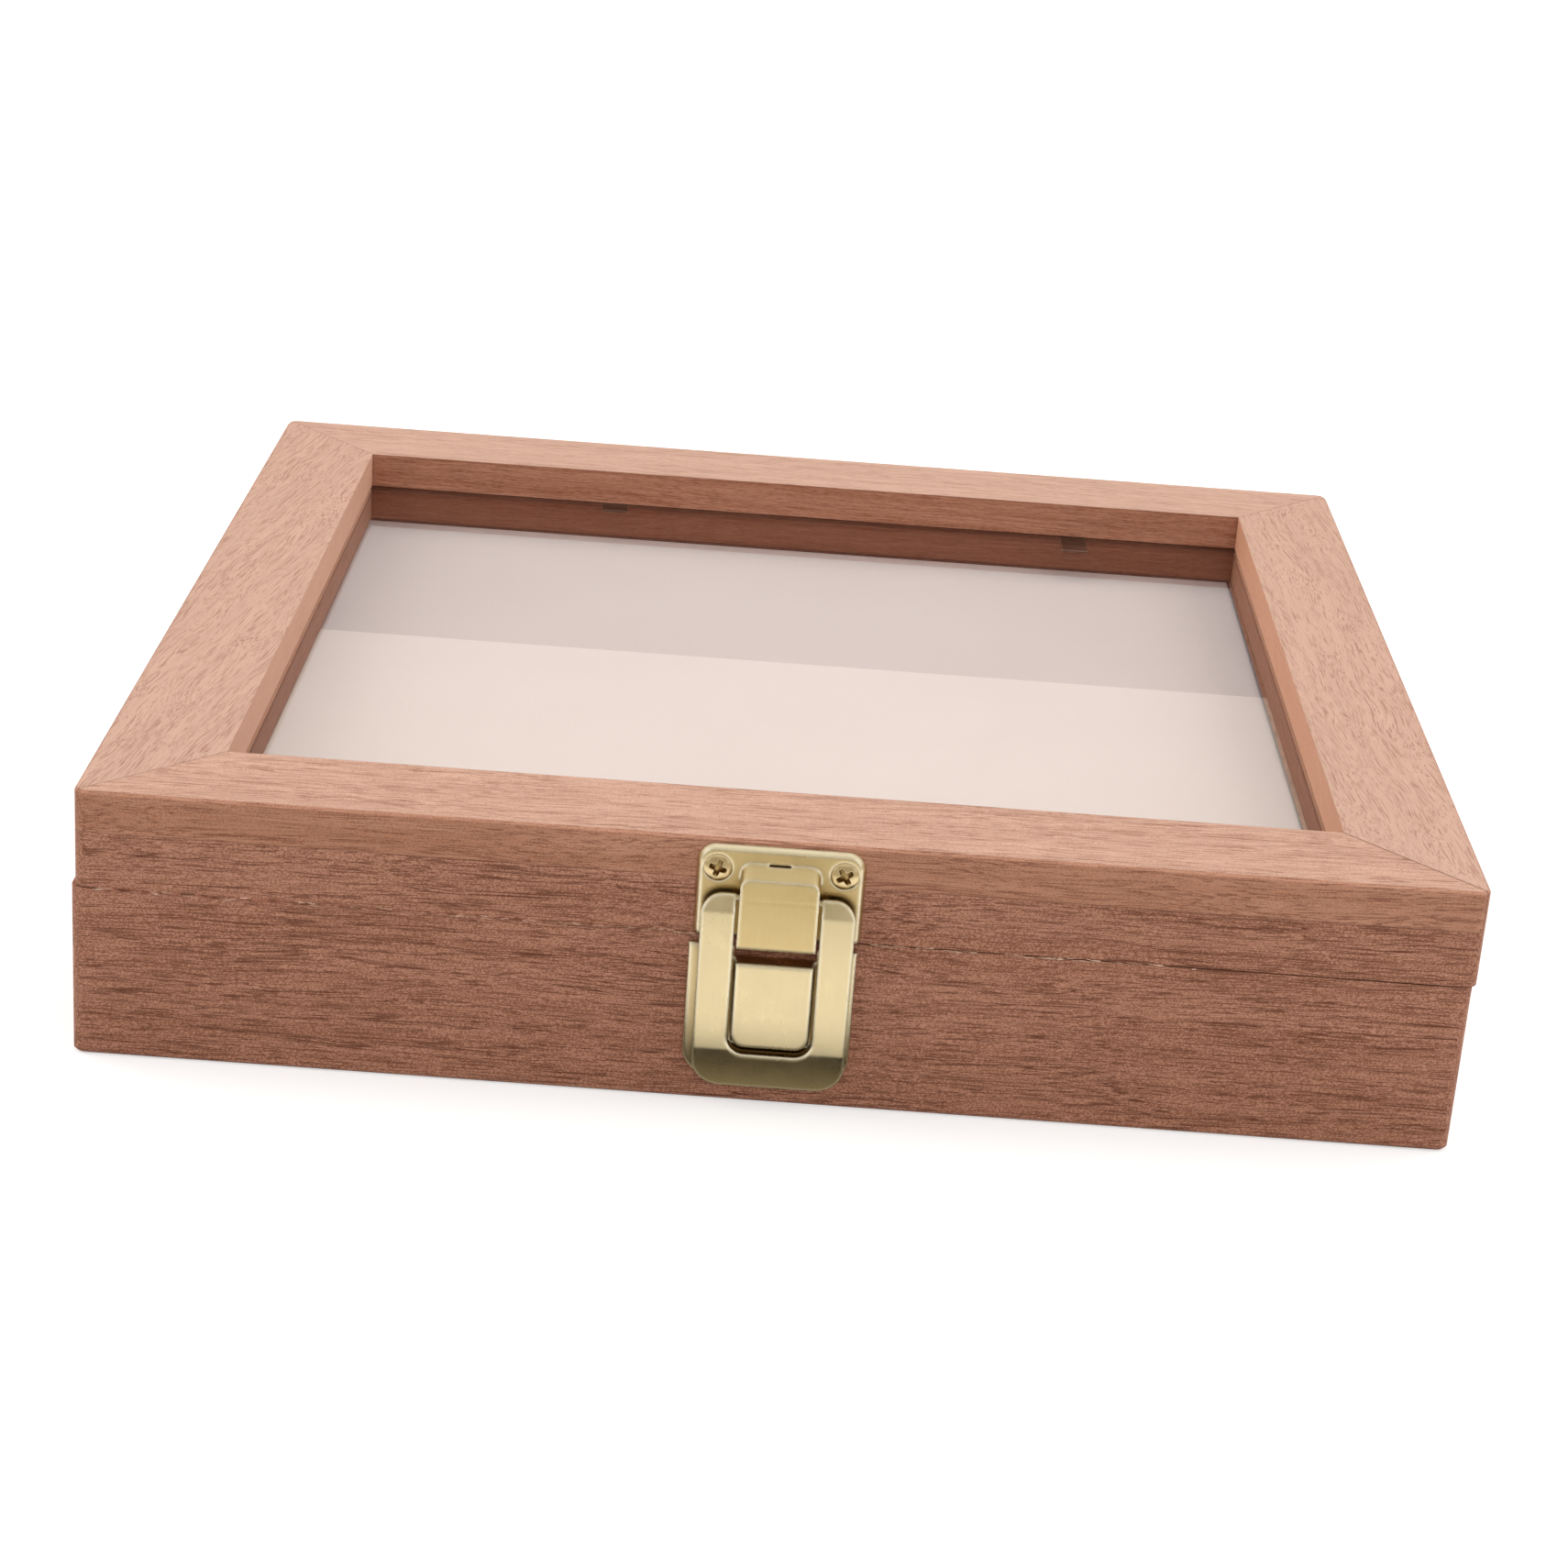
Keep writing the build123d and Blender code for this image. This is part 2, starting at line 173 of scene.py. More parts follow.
# %% [markdown]
# The studio is a white room. A camera ray, a reflection or a look through the glass meets plain
# white, while the light that falls on the box is weaker, so that the wood isn't washed out. The
# world's Light Path node tells these rays apart. Two wide softboxes stand left and right of the
# table, as beside a light tent: they are why the inner faces of the window glow on both sides.
# A smaller one above reaches the foam in the well, and a weak lamp in front lifts the front.

# %% The room and its lamps
room_light = 0.38
SOFTBOX_WHITE = (1.0, 0.97, 0.94)
FILL_WHITE = (1.0, 0.98, 0.96)
world = bpy.data.worlds.new("white_room")
world.use_nodes = True
world.node_tree.nodes.clear()
bpy.context.scene.world = world


def seen_directly(tree):
    path = add(tree, "LightPath").outputs
    either = calc(tree, "MAXIMUM", path["Is Camera Ray"], path["Is Glossy Ray"])
    return calc(tree, "MAXIMUM", either, path["Is Transmission Ray"])


room = world.node_tree
strength = add(room, "Mix", {"Factor": seen_directly(room), "A": room_light, "B": 1.0}, data_type="FLOAT")
background = add(room, "Background", {"Color": (1.0, 1.0, 1.0, 1.0), "Strength": strength.outputs[0]})
add(room, "OutputWorld", {"Surface": background.outputs[0]})


def soft_lamp(name, place, width, depth, watts, colour):
    data = bpy.data.lights.new(name, "AREA")
    data.shape = "RECTANGLE"
    data.size = width
    data.size_y = depth
    data.energy = watts
    data.color = colour
    lamp = bpy.data.objects.new(name, data)
    lamp.location = place
    lamp.rotation_euler = (aim - Vector(place)).to_track_quat("-Z", "Y").to_euler()
    lamp.visible_glossy = False
    bpy.context.collection.objects.link(lamp)


soft_lamp("softbox_left", (-0.80, 0.0, 0.66), 1.0, 1.0, 6.6, SOFTBOX_WHITE)
soft_lamp("softbox_right", (0.80, 0.0, 0.66), 1.0, 1.0, 6.6, SOFTBOX_WHITE)
soft_lamp("lamp_above", (0.0, 0.35, 1.05), 0.8, 0.8, 3.9, SOFTBOX_WHITE)
soft_lamp("fill_in_front", (0.20, -1.10, 0.60), 0.8, 0.5, 3.4, FILL_WHITE)

# %% [markdown]
# The floor is white paper. It lies a hair below the box, because two faces at one height flicker
# through each other. Paper alone would come out grey under such light, so rays that see it
# directly also get a little glow, more of it far from the box, where the lamps don't reach, and
# the shadow of the box still shows.

# %% The floor
floor_colour = 0.62
floor_glow = 0.50
far_glow = 0.76
floor_height = -0.1 * MM
FLOOR_CORNERS = ((-3, -3), (3, -3), (3, 3), (-3, 3))


def flat_sheet(name, corners):
    data = bpy.data.meshes.new(name)
    data.from_pydata(corners, [], [tuple(range(len(corners)))])
    made = bpy.data.objects.new(name, data)
    bpy.context.collection.objects.link(made)
    return made


floor = flat_sheet("floor", [(x, y, floor_height) for x, y in FLOOR_CORNERS])
paper, tree = empty_material("white_paper")
matt = add(tree, "BsdfDiffuse", {"Color": (floor_colour, floor_colour, floor_colour, 1.0)})
spot = add(tree, "TexCoord").outputs["Object"]
away = add(tree, "VectorMath", {0: spot}, operation="LENGTH").outputs["Value"]
paper_glow = remap(tree, away, 0.25, 1.1, floor_glow, far_glow, smooth=False)
glow = calc(tree, "MULTIPLY", seen_directly(tree), paper_glow)
lit = add(tree, "Emission", {"Color": (1.0, 1.0, 1.0, 1.0), "Strength": glow})
both = add(tree, "AddShader", {0: matt.outputs[0], 1: lit.outputs[0]})
add(tree, "OutputMaterial", {"Surface": both.outputs[0]})
floor.data.materials.append(paper)
print("floor at", floor_height, "m")

# %% [markdown]
# Behind the box stand two cards that only reflections see, a dark one with a warm bright one over
# it. In the photograph the back part of the glass is dull and its front part bright, with an edge
# between them, and that edge is where the cards meet. Brass needs such cards too, because metal
# in an all-white room looks like paint: a dim table top and a dim room in front, a dim patch of
# ceiling for the shoulder of the hasp's pad, and right before the box a dark strip, a painted
# shadow of the box on the floor, that its foot leans towards. A card may shade from one tone to
# another, upwards if it stands and away from us if it lies.

# %% The cards
card_behind = 0.90
cards_meet = 0.363
card_on_floor = 0.3 * MM
table_top_start = 0.073


def reflected_card(name, colour, corners, head_colour=None):
    made = flat_sheet(name, corners)
    made.visible_camera = False
    made.visible_diffuse = False
    made.visible_shadow = False
    made.visible_transmission = False
    tone, tree = empty_material(name)
    away_from_foot = "Z" if corners[0][2] != corners[2][2] else "Y"
    place = add(tree, "TexCoord").outputs["Generated"]
    rise = add(tree, "SeparateXYZ", {0: place}).outputs[away_from_foot]
    shaded = blended(tree, rise, colour, head_colour or colour)
    glow = add(tree, "Emission", {"Color": shaded, "Strength": 1.0})
    add(tree, "OutputMaterial", {"Surface": glow.outputs[0]})
    made.data.materials.append(tone)


def lying(low_x, high_x, near, far, z):
    return [(low_x, far, z), (high_x, far, z), (high_x, near, z), (low_x, near, z)]


def standing(low_x, high_x, y, low_z, high_z):
    return [(low_x, y, low_z), (high_x, y, low_z), (high_x, y, high_z), (low_x, y, high_z)]


front_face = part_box("base_front")[0][1]
strip_start, strip_middle, strip_end = (front_face - out * MM for out in (1, 10, 22))
reflected_card("dark_card", (0.03, 0.022, 0.03), standing(-0.9, 0.9, card_behind, 0.0, cards_meet))
reflected_card("warm_card", (0.72, 0.65, 0.54), standing(-0.9, 0.9, card_behind, cards_meet, 0.52),
               head_colour=(1.15, 1.02, 0.76))
reflected_card("card_in_front", (0.58, 0.54, 0.46),
               lying(-1.5, 1.5, front_face - table_top_start, -2.0, card_on_floor))
reflected_card("dim_room", (0.45, 0.41, 0.36), standing(-1.2, 1.2, -2.0, 0.0, 0.75))
reflected_card("dim_ceiling", (0.34, 0.29, 0.20), lying(-1.2, 1.2, -1.9, -0.75, 1.5))
# Painted shadow of the box on the floor, seen only in reflections such as the hasp's foot.
reflected_card("painted_shadow_fade", (0.03, 0.024, 0.018),
               lying(-0.1, 0.1, strip_start, strip_middle, card_on_floor),
               head_colour=(0.36, 0.32, 0.24))
reflected_card("painted_shadow_strip", (0.02, 0.015, 0.01), lying(-0.1, 0.1, strip_middle, strip_end, card_on_floor))

# %% [markdown]
# Real edges are never knife sharp. Sanding rounds wood, and handling polishes brass. Cycles has a
# Bevel node that finds edges while it renders, so one small node group serves every piece without
# touching its mesh: it compares the rounded normal with the true one, and where they differ there
# is an edge.

# %% Edge wear
WEAR_INPUTS = [("Radius", "Float", 0.3 * MM), ("Sharpness", "Float", 2.5)]
WEAR_OUTPUTS = [("Edge", "Float"), ("Normal", "Vector")]


def new_group(name, inputs, outputs):
    """A node group with its sockets: the group, what comes in, and the node that gives out."""
    group = bpy.data.node_groups.new(name, "ShaderNodeTree")
    for title, kind, value in inputs:
        socket = group.interface.new_socket(title, in_out="INPUT", socket_type="NodeSocket" + kind)
        if value is not None:
            socket.default_value = value
    for title, kind in outputs:
        group.interface.new_socket(title, in_out="OUTPUT", socket_type="NodeSocket" + kind)
    return group, group.nodes.new("NodeGroupInput").outputs, group.nodes.new("NodeGroupOutput")


def place_group(tree, group, inputs):
    return add(tree, "Group", inputs, node_tree=group).outputs


def worn_edges():
    group, given, result = new_group("worn_edges", WEAR_INPUTS, WEAR_OUTPUTS)
    rounded = add(group, "Bevel", {"Radius": given["Radius"]}, samples=6).outputs[0]
    true = add(group, "NewGeometry").outputs["Normal"]
    same = add(group, "VectorMath", {0: rounded, 1: true}, operation="DOT_PRODUCT").outputs["Value"]
    edge = calc(group, "MULTIPLY", calc(group, "SUBTRACT", 1.0, same), given["Sharpness"], clamp=True)
    fill(group, result, {"Edge": edge, "Normal": rounded})
    return group


edges = worn_edges()
print("group", edges.name, "puts out", [title for title, kind in WEAR_OUTPUTS])

# %% [markdown]
# The wood is an open-pored, unpolished hardwood. Seven things make it: slow bands of colour, long
# streaks, the arches of growth rings, hair-thin dark lines that run for a centimetre or more,
# short pores in clusters, a fuzz of sanded fibres, and dark flecks, which are the same fuzz cut
# sharper. All are noise or waves stretched along the board, so one group can make them for every
# board, if the vector that goes in has its X along the grain. The thin lines are a trick worth
# keeping: where a smooth noise crosses its middle value it draws a contour, and stretched contours
# look like vessels cut lengthwise. Nothing is painted on a face: the pattern fills the solid, so
# it turns the corner as it does in real wood.

# %% Wood grain
GRAIN_INPUTS = [
    ("Vector", "Vector", None),
    ("Pale", "Color", (0.45, 0.22, 0.14, 1.0)),
    ("Dark", "Color", (0.20, 0.075, 0.045, 1.0)),
    ("Pore Colour", "Color", (0.10, 0.035, 0.02, 1.0)),
    ("Waviness", "Float", 1.2),
    ("Bands", "Float", 0.5),
    ("Streaks", "Float", 0.5),
    ("Lines", "Float", 0.5),
    ("Pores", "Float", 0.6),
    ("Fuzz", "Float", 0.2),
    ("Fuzz Scale", "Vector", (1.0, 4.0, 4.0)),
    ("Flecks", "Float", 0.0),
    ("Figure", "Float", 0.0),
]
GRAIN_OUTPUTS = [("Color", "Color"), ("Roughness", "Float"), ("Height", "Float"), ("Depth", "Float")]
RING_WAVES = {"Scale": 0.35, "Distortion": 3.0, "Detail": 2.0, "Detail Scale": 0.6}


def in_millimetres(tree, vector):
    return add(tree, "VectorMath", {0: vector, "Scale": 1000.0}, operation="SCALE").outputs[0]


def stretched_noise(tree, vector, scale, detail, roughness=0.5):
    squeezed = vector_calc(tree, "MULTIPLY", vector, scale)
    values = {"Vector": squeezed, "Scale": 1.0, "Detail": detail, "Roughness": roughness}
    return add(tree, "TexNoise", values).outputs["Fac"]


def wandering_fibre(group, in_mm, waviness):
    """The fibres of a board wander slowly from side to side."""
    slow = vector_calc(group, "MULTIPLY", in_mm, (0.018, 0.07, 0.07))
    drift = add(group, "TexNoise", {"Vector": slow, "Scale": 1.0, "Detail": 2.0}).outputs["Color"]
    centred = vector_calc(group, "SUBTRACT", drift, (0.5, 0.5, 0.5))
    sideways = vector_calc(group, "MULTIPLY", centred, (0.0, 6.0, 6.0))
    push = add(group, "VectorMath", {0: sideways, "Scale": waviness}, operation="SCALE").outputs[0]
    return vector_calc(group, "ADD", in_mm, push)


def wood_grain():
    group, given, result = new_group("wood_grain", GRAIN_INPUTS, GRAIN_OUTPUTS)
    fibre = wandering_fibre(group, in_millimetres(group, given["Vector"]), given["Waviness"])
    bands = remap(group, stretched_noise(group, fibre, (0.010, 0.36, 0.36), 3.0), 0.32, 0.68)
    streaks = remap(group, stretched_noise(group, fibre, (0.030, 2.6, 2.6), 3.0, 0.65), 0.30, 0.70)
    cluster = remap(group, stretched_noise(group, fibre, (0.020, 0.60, 0.60), 2.0), 0.36, 0.64)

    # Lines: contours of a noise, broken into lengths, and fainter outside the clusters.
    contour = stretched_noise(group, fibre, (0.034, 2.2, 2.2), 1.0)
    vessels = remap(group, distance_to(group, contour, 0.5), 0.007, 0.048, 1.0, 0.0)
    breaks = remap(group, stretched_noise(group, fibre, (0.09, 2.4, 2.4), 1.0), 0.42, 0.56)
    lines = calc(group, "MULTIPLY", vessels, breaks)
    lines = calc(group, "MULTIPLY", lines, remap(group, cluster, 0.0, 1.0, 0.40, 1.0))

    # Pores: the peaks of a fine noise, cut lower inside the clusters, so more of them show there.
    peaks = stretched_noise(group, fibre, (0.15, 5.6, 5.6), 1.0)
    cut = remap(group, cluster, 0.0, 1.0, 0.60, 0.545, smooth=False)
    pores = remap(group, calc(group, "SUBTRACT", peaks, cut), 0.0, 0.06)

    fuzz_noise = stretched_noise(group, fibre, given["Fuzz Scale"], 1.0, 0.6)
    fuzz = remap(group, fuzz_noise, 0.30, 0.70)
    flecks = remap(group, fuzz_noise, 0.49, 0.72)

    # Growth rings that the saw met at a slant show as arches, the figure of a flat-sawn board.
    ring_space = vector_calc(group, "MULTIPLY", fibre, (0.045, 0.40, 0.9))
    rings = add(group, "TexWave", {"Vector": ring_space, **RING_WAVES},
                wave_type="RINGS", rings_direction="Z", wave_profile="SIN").outputs["Fac"]

    tone = 0.0
    for pattern, name in ((bands, "Bands"), (streaks, "Streaks"), (rings, "Figure"), (fuzz, "Fuzz")):
        swing = calc(group, "MULTIPLY", calc(group, "SUBTRACT", pattern, 0.5), given[name])
        tone = calc(group, "ADD", tone, swing)
    tone = calc(group, "ADD", tone, 0.5, clamp=True)
    depth = 0.0
    for pattern, name in ((pores, "Pores"), (lines, "Lines"), (flecks, "Flecks")):
        depth = calc(group, "MAXIMUM", depth, calc(group, "MULTIPLY", pattern, given[name]))
    ground = blended(group, tone, given["Dark"], given["Pale"])
    rough = remap(group, tone, 0.0, 1.0, 0.62, 0.50, smooth=False)
    raised = calc(group, "MULTIPLY", fuzz, 0.35)
    fill(group, result, {
        "Color": blended(group, depth, ground, given["Pore Colour"]),
        "Roughness": calc(group, "ADD", rough, calc(group, "MULTIPLY", depth, 0.25)),
        "Height": calc(group, "SUBTRACT", raised, calc(group, "MULTIPLY", depth, 0.9)),
        "Depth": depth,
    })
    return group


grain = wood_grain()
print("group", grain.name, "has", len(grain.nodes), "nodes")

# %% [markdown]
# The base and the lower half of the lid were glued up as one box and sawn apart, so on each side
# they share a board and its grain runs on across the saw cut. The upper half of the lid is a
# second layer of four more boards, and its front one is the palest. A board is described by how
# it is turned, what tones it has, and how strong its bands, lines, pores and figure are. The
# place in the tree that it comes from is set by its place in the list.

# %% The boards
WALL = dict(pale=(0.530, 0.252, 0.160), dark=(0.285, 0.110, 0.058), pore=(0.148, 0.046, 0.022))
LAYER = dict(pale=(0.570, 0.285, 0.182), dark=(0.330, 0.128, 0.064), pore=(0.180, 0.060, 0.032))
PALE_LAYER = dict(pale=(0.640, 0.326, 0.208), dark=(0.375, 0.150, 0.076), pore=(0.195, 0.066, 0.036))
# Scales of the fuzz along the board, across it and in depth: the smaller, the longer it is.
FINE = (3.0, 4.8, 4.8)
SHORT = (3.6, 0.9, 4.5)
LONG = (0.9, 1.6, 4.0)
SILKY = (0.80, 6.6, 6.2)


def strengths(waviness, bands, streaks, lines, pores, fuzz, figure=0.0, fuzz_scale=FINE, flecks=0.0):
    """The values of the wood group for one board, by the names of its sockets."""
    return {"Waviness": waviness, "Bands": bands, "Streaks": streaks, "Lines": lines, "Pores": pores,
            "Fuzz": fuzz, "Figure": figure, "Fuzz Scale": fuzz_scale, "Flecks": flecks}


OPEN_PORED = strengths(waviness=1.2, bands=0.38, streaks=0.28, lines=0.95, pores=0.65, fuzz=0.85,
                       figure=0.1)
# name, pieces, the axis that it runs along, twist in degrees, tones, strengths
BOARDS = [
    ("wall_front", ["base_front", "lid_rim_front"], "X", 1.5, WALL,
     strengths(waviness=0.6, bands=0.34, streaks=0.16, lines=1.00, pores=0.70, fuzz=1.15)),
    ("wall_back", ["base_back", "lid_rim_back"], "X", 0.0, WALL, OPEN_PORED),
    ("wall_left", ["base_left", "lid_rim_left"], "Y", -1.5, WALL, OPEN_PORED),
    ("wall_right", ["base_right", "lid_rim_right"], "Y", 2.0, WALL, {**OPEN_PORED, "Waviness": 1.4}),
    ("layer_front", ["lid_frame_front"], "X", 2.0, PALE_LAYER,
     strengths(waviness=0.8, bands=0.30, streaks=0.22, lines=0.78, pores=0.62, fuzz=0.80,
               figure=0.05, fuzz_scale=SHORT, flecks=0.50)),
    ("layer_back", ["lid_frame_back"], "X", -1.0, LAYER,
     strengths(waviness=0.6, bands=0.25, streaks=0.55, lines=0.50, pores=0.40, fuzz=0.50,
               figure=0.0, fuzz_scale=LONG, flecks=0.20)),
    ("layer_left", ["lid_frame_left"], "Y", -9.0, LAYER,
     strengths(waviness=1.4, bands=0.25, streaks=0.25, lines=0.40, pores=0.50, fuzz=0.35,
               figure=0.08, fuzz_scale=SILKY, flecks=0.24)),
    ("layer_right", ["lid_frame_right"], "Y", 4.0, LAYER,
     strengths(waviness=1.6, bands=0.20, streaks=0.22, lines=0.30, pores=0.50, fuzz=0.35,
               figure=0.16, fuzz_scale=SILKY, flecks=0.24)),
]
print(len(BOARDS), "boards for", sum(len(row[1]) for row in BOARDS), "pieces")

# %% [markdown]
# A box that was joined, sawn and sanded shows more than grain. The sanded tops are dusty and
# pale, and their colour also carries a painted sheen. The cut sides of the window are fresh wood,
# painted lighter still with painted light so that they glow orange, the faces turned to the well
# get painted shade, and the ledge that the pane lies on is bare: painted shade at the back, and
# pale elsewhere with some painted light. Two kinds of hairline show the joiner's work: the mitres,
# and the glue line between the layers. Each is a mask made from where a point is and which way its
# face looks, so it needs no new mesh.

# %% Sanded, cut and joined faces, with painted light and shade
seam_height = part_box("lid_frame_front")[0][2]
ledge_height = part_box("glass_pane")[0][2]
ledge_reach = 0.3 * MM
lid_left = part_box("lid_frame_left")[0][0]
lid_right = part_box("lid_frame_right")[1][0]
lid_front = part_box("lid_frame_front")[0][1]
lid_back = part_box("lid_frame_back")[1][1]
DUST_AND_SHEEN = (0.70, 0.53, 0.44)
DUST_AND_SHEEN_AMOUNT = {"layer_front": 0.39, "layer_back": 0.45, "layer_left": 0.45, "layer_right": 0.45}
FRESH_CUT_AND_LIGHT = (0.74, 0.39, 0.245)
PALE_CUT_AND_LIGHT = (0.69, 0.41, 0.29)
cut_and_light_amount = 0.75
# Which way along X the cut side looks, and its tone: fresh wood, painted lighter with painted light.
WINDOW_SIDE = {"layer_left": (1.0, PALE_CUT_AND_LIGHT), "layer_right": (-1.0, FRESH_CUT_AND_LIGHT)}
# The axis and way that a side in painted shade looks, and how much painted shade it gets.
WELL_SHADE_SIDES = {
    "wall_back": ("Y", -1.0, 0.84),
    "wall_left": ("X", 1.0, 0.84),
    "wall_right": ("X", -1.0, 0.84),
    "layer_back": ("Y", -1.0, 0.12),
}
PAINTED_WELL_SHADE = (0.098, 0.016, 0.004)
HAIRLINE = (0.20, 0.09, 0.056)
mitre_width = 0.32 * MM
glue_line_width = 0.13 * MM
glue_line_strength = 0.38
print("lid from", round(lid_left, 4), "to", round(lid_right, 4), "seam at", round(seam_height, 4))


def mitre_line(tree, at):
    """A hair of shadow along the four mitres, clearest at the front right corner."""
    from_x = calc(tree, "SUBTRACT", at["X"], (lid_left + lid_right) / 2)
    from_y = calc(tree, "SUBTRACT", at["Y"], (lid_front + lid_back) / 2)
    to_side = calc(tree, "SUBTRACT", (lid_right - lid_left) / 2, calc(tree, "ABSOLUTE", from_x))
    to_end = calc(tree, "SUBTRACT", (lid_back - lid_front) / 2, calc(tree, "ABSOLUTE", from_y))
    line = remap(tree, distance_to(tree, to_side, to_end), mitre_width * 0.3, mitre_width, 1.0, 0.0)
    at_right = remap(tree, from_x, -0.01, 0.01)
    at_front = remap(tree, from_y, 0.01, -0.01)
    strength = remap(tree, calc(tree, "MULTIPLY", at_right, at_front), 0.0, 1.0, 0.30, 0.80)
    return calc(tree, "MULTIPLY", line, strength)


def looking(tree, facing, way, amount):
    """How much of an effect a face gets that looks one way along an axis."""
    return remap(tree, calc(tree, "MULTIPLY", facing, way), 0.8, 0.95, 0.0, amount)


def wall_finish(tree, name, colour, at, facing):
    # The ledge gets painted shade at the back, and elsewhere a pale cut tone that carries painted light.
    near_ledge = calc(tree, "LESS_THAN", distance_to(tree, at["Z"], ledge_height), ledge_reach)
    painted_ledge = calc(tree, "MULTIPLY", near_ledge, remap(tree, facing["Z"], 0.8, 0.95, 0.0, 0.9))
    return blended(tree, painted_ledge, colour, PAINTED_WELL_SHADE if name == "wall_back" else FRESH_CUT_AND_LIGHT)


def layer_finish(tree, name, colour, at, facing, depth):
    # Dust and painted sheen: faces that look up are paled, except in the pores.
    dust_and_sheen = remap(tree, facing["Z"], 0.6, 0.95, 0.0, DUST_AND_SHEEN_AMOUNT[name])
    dust_and_sheen = calc(tree, "MULTIPLY", dust_and_sheen, calc(tree, "SUBTRACT", 1.0, depth))
    colour = blended(tree, dust_and_sheen, colour, DUST_AND_SHEEN)
    # Painted light, with the fresh-cut tone, on the cut sides of the window.
    if name in WINDOW_SIDE:
        way, cut_and_light_tone = WINDOW_SIDE[name]
        colour = blended(tree, looking(tree, facing["X"], way, cut_and_light_amount), colour, cut_and_light_tone)
    return blended(tree, mitre_line(tree, at), colour, HAIRLINE)


# %% [markdown]
# One function puts a board's material together: it seats the grain in the board, rounds the
# edges, adds the faces above, and ends in a Principled shader with a fine bump. Every rail then
# gets the material of the board that it was sawn from.

# %% Dressing the rails


def board_material(name, along, twist, tones, grain_values, place_in_tree):
    made, tree, shader = new_material("wood_" + name, Specular_IOR_Level=0.35)
    coordinates = add(tree, "TexCoord").outputs
    at = add(tree, "SeparateXYZ", {0: coordinates["Object"]}).outputs
    facing = add(tree, "SeparateXYZ", {0: coordinates["Normal"]}).outputs
    lean = math.radians(twist * 0.4)
    turned = math.radians(twist + (90.0 if along == "Y" else 0.0))
    seat = add(tree, "Mapping", {
        "Vector": coordinates["Object"], "Rotation": (0.0, lean, -turned), "Location": place_in_tree})
    wood = place_group(tree, grain, {
        "Vector": seat.outputs[0],
        "Pale": opaque(tones["pale"]),
        "Dark": opaque(tones["dark"]),
        "Pore Colour": opaque(tones["pore"]),
        **grain_values,
    })
    worn = place_group(tree, edges, {"Radius": 0.25 * MM, "Sharpness": 1.6})
    colour = blended(tree, calc(tree, "MULTIPLY", worn["Edge"], 0.25), wood["Color"], tones["pale"])
    # Painted shade on the faces turned to the well.
    if name in WELL_SHADE_SIDES:
        axis, way, amount = WELL_SHADE_SIDES[name]
        colour = blended(tree, looking(tree, facing[axis], way, amount), colour, PAINTED_WELL_SHADE)
    if name.startswith("wall"):
        colour = wall_finish(tree, name, colour, at, facing)
    if name.startswith("layer"):
        colour = layer_finish(tree, name, colour, at, facing, wood["Depth"])
    if name.startswith(("layer", "wall")):
        off_seam = distance_to(tree, at["Z"], seam_height)
        seam = remap(tree, off_seam, 0.0, glue_line_width, glue_line_strength, 0.0)
        colour = blended(tree, seam, colour, HAIRLINE)
    relief = add(tree, "Bump", {
        "Height": wood["Height"], "Normal": worn["Normal"], "Strength": 0.6, "Distance": 0.16 * MM})
    fill(tree, shader, {"Base Color": colour, "Roughness": wood["Roughness"], "Normal": relief.outputs[0]})
    return made


for index, (name, pieces, along, twist, tones, grain_values) in enumerate(BOARDS):
    place_in_tree = (0.31 * index, 0.17 * index + 0.05, 0.023 * index)
    board = board_material(name, along, twist, tones, grain_values, place_in_tree)
    for piece in pieces:
        finish_node(piece, board)
    print("board", name, "for", ", ".join(pieces))

# %% [markdown]
# The bottom is a thin panel of plywood, seen only from below and where the box is lifted. Its
# face veneer is plainer and paler than the boards, with long straight streaks and few pores, so
# the wood group is used again with quiet values.

# %% Plywood
PLY = dict(pale=(0.62, 0.46, 0.30), dark=(0.44, 0.29, 0.17), pore=(0.33, 0.20, 0.11))
ply_values = strengths(waviness=1.8, bands=0.35, streaks=0.30, lines=0.20, pores=0.25, fuzz=0.25,
                       figure=0.3)
finish_node("bottom_panel", board_material("ply_veneer", "X", 0.0, PLY, ply_values, (2.9, 1.3, 0.4)))
print("plywood for bottom_panel")

# %% [markdown]
# The hasp, the hinges and the screws are pressed brass with a satin face: rolled sheet, tumbled
# and lacquered, so it is pale gold and reflects in soft patches. Metal takes nearly all of its
# look from what it reflects. The shader is fully metallic, its roughness wanders a little, rolling
# lines run along the sheet, the worn edges are polished and get a painted highlight, and the inner
# corners, which an ambient occlusion node finds, get painted shade.

# %% Brass
# A paler colour for the worn edges: polish, and a painted highlight.
EDGE_POLISH_AND_HIGHLIGHT = (1.0, 0.93, 0.72)
# Painted shade for the inner corners of the brass.
PAINTED_CREASE_SHADE = (0.34, 0.215, 0.065)
BRASS_INPUTS = [
    ("Vector", "Vector", None),
    ("Bright", "Color", (0.86, 0.72, 0.44, 1.0)),
    ("Dull", "Color", (0.66, 0.52, 0.28, 1.0)),
    ("Shaded", "Color", (*PAINTED_CREASE_SHADE, 1.0)),
    ("Shine", "Color", (*EDGE_POLISH_AND_HIGHLIGHT, 1.0)),
    ("Edge", "Float", 0.0),
    ("Roughness", "Float", 0.30),
]
BRASS_OUTPUTS = [("Color", "Color"), ("Roughness", "Float"), ("Height", "Float")]
crease_reach = 3.4 * MM


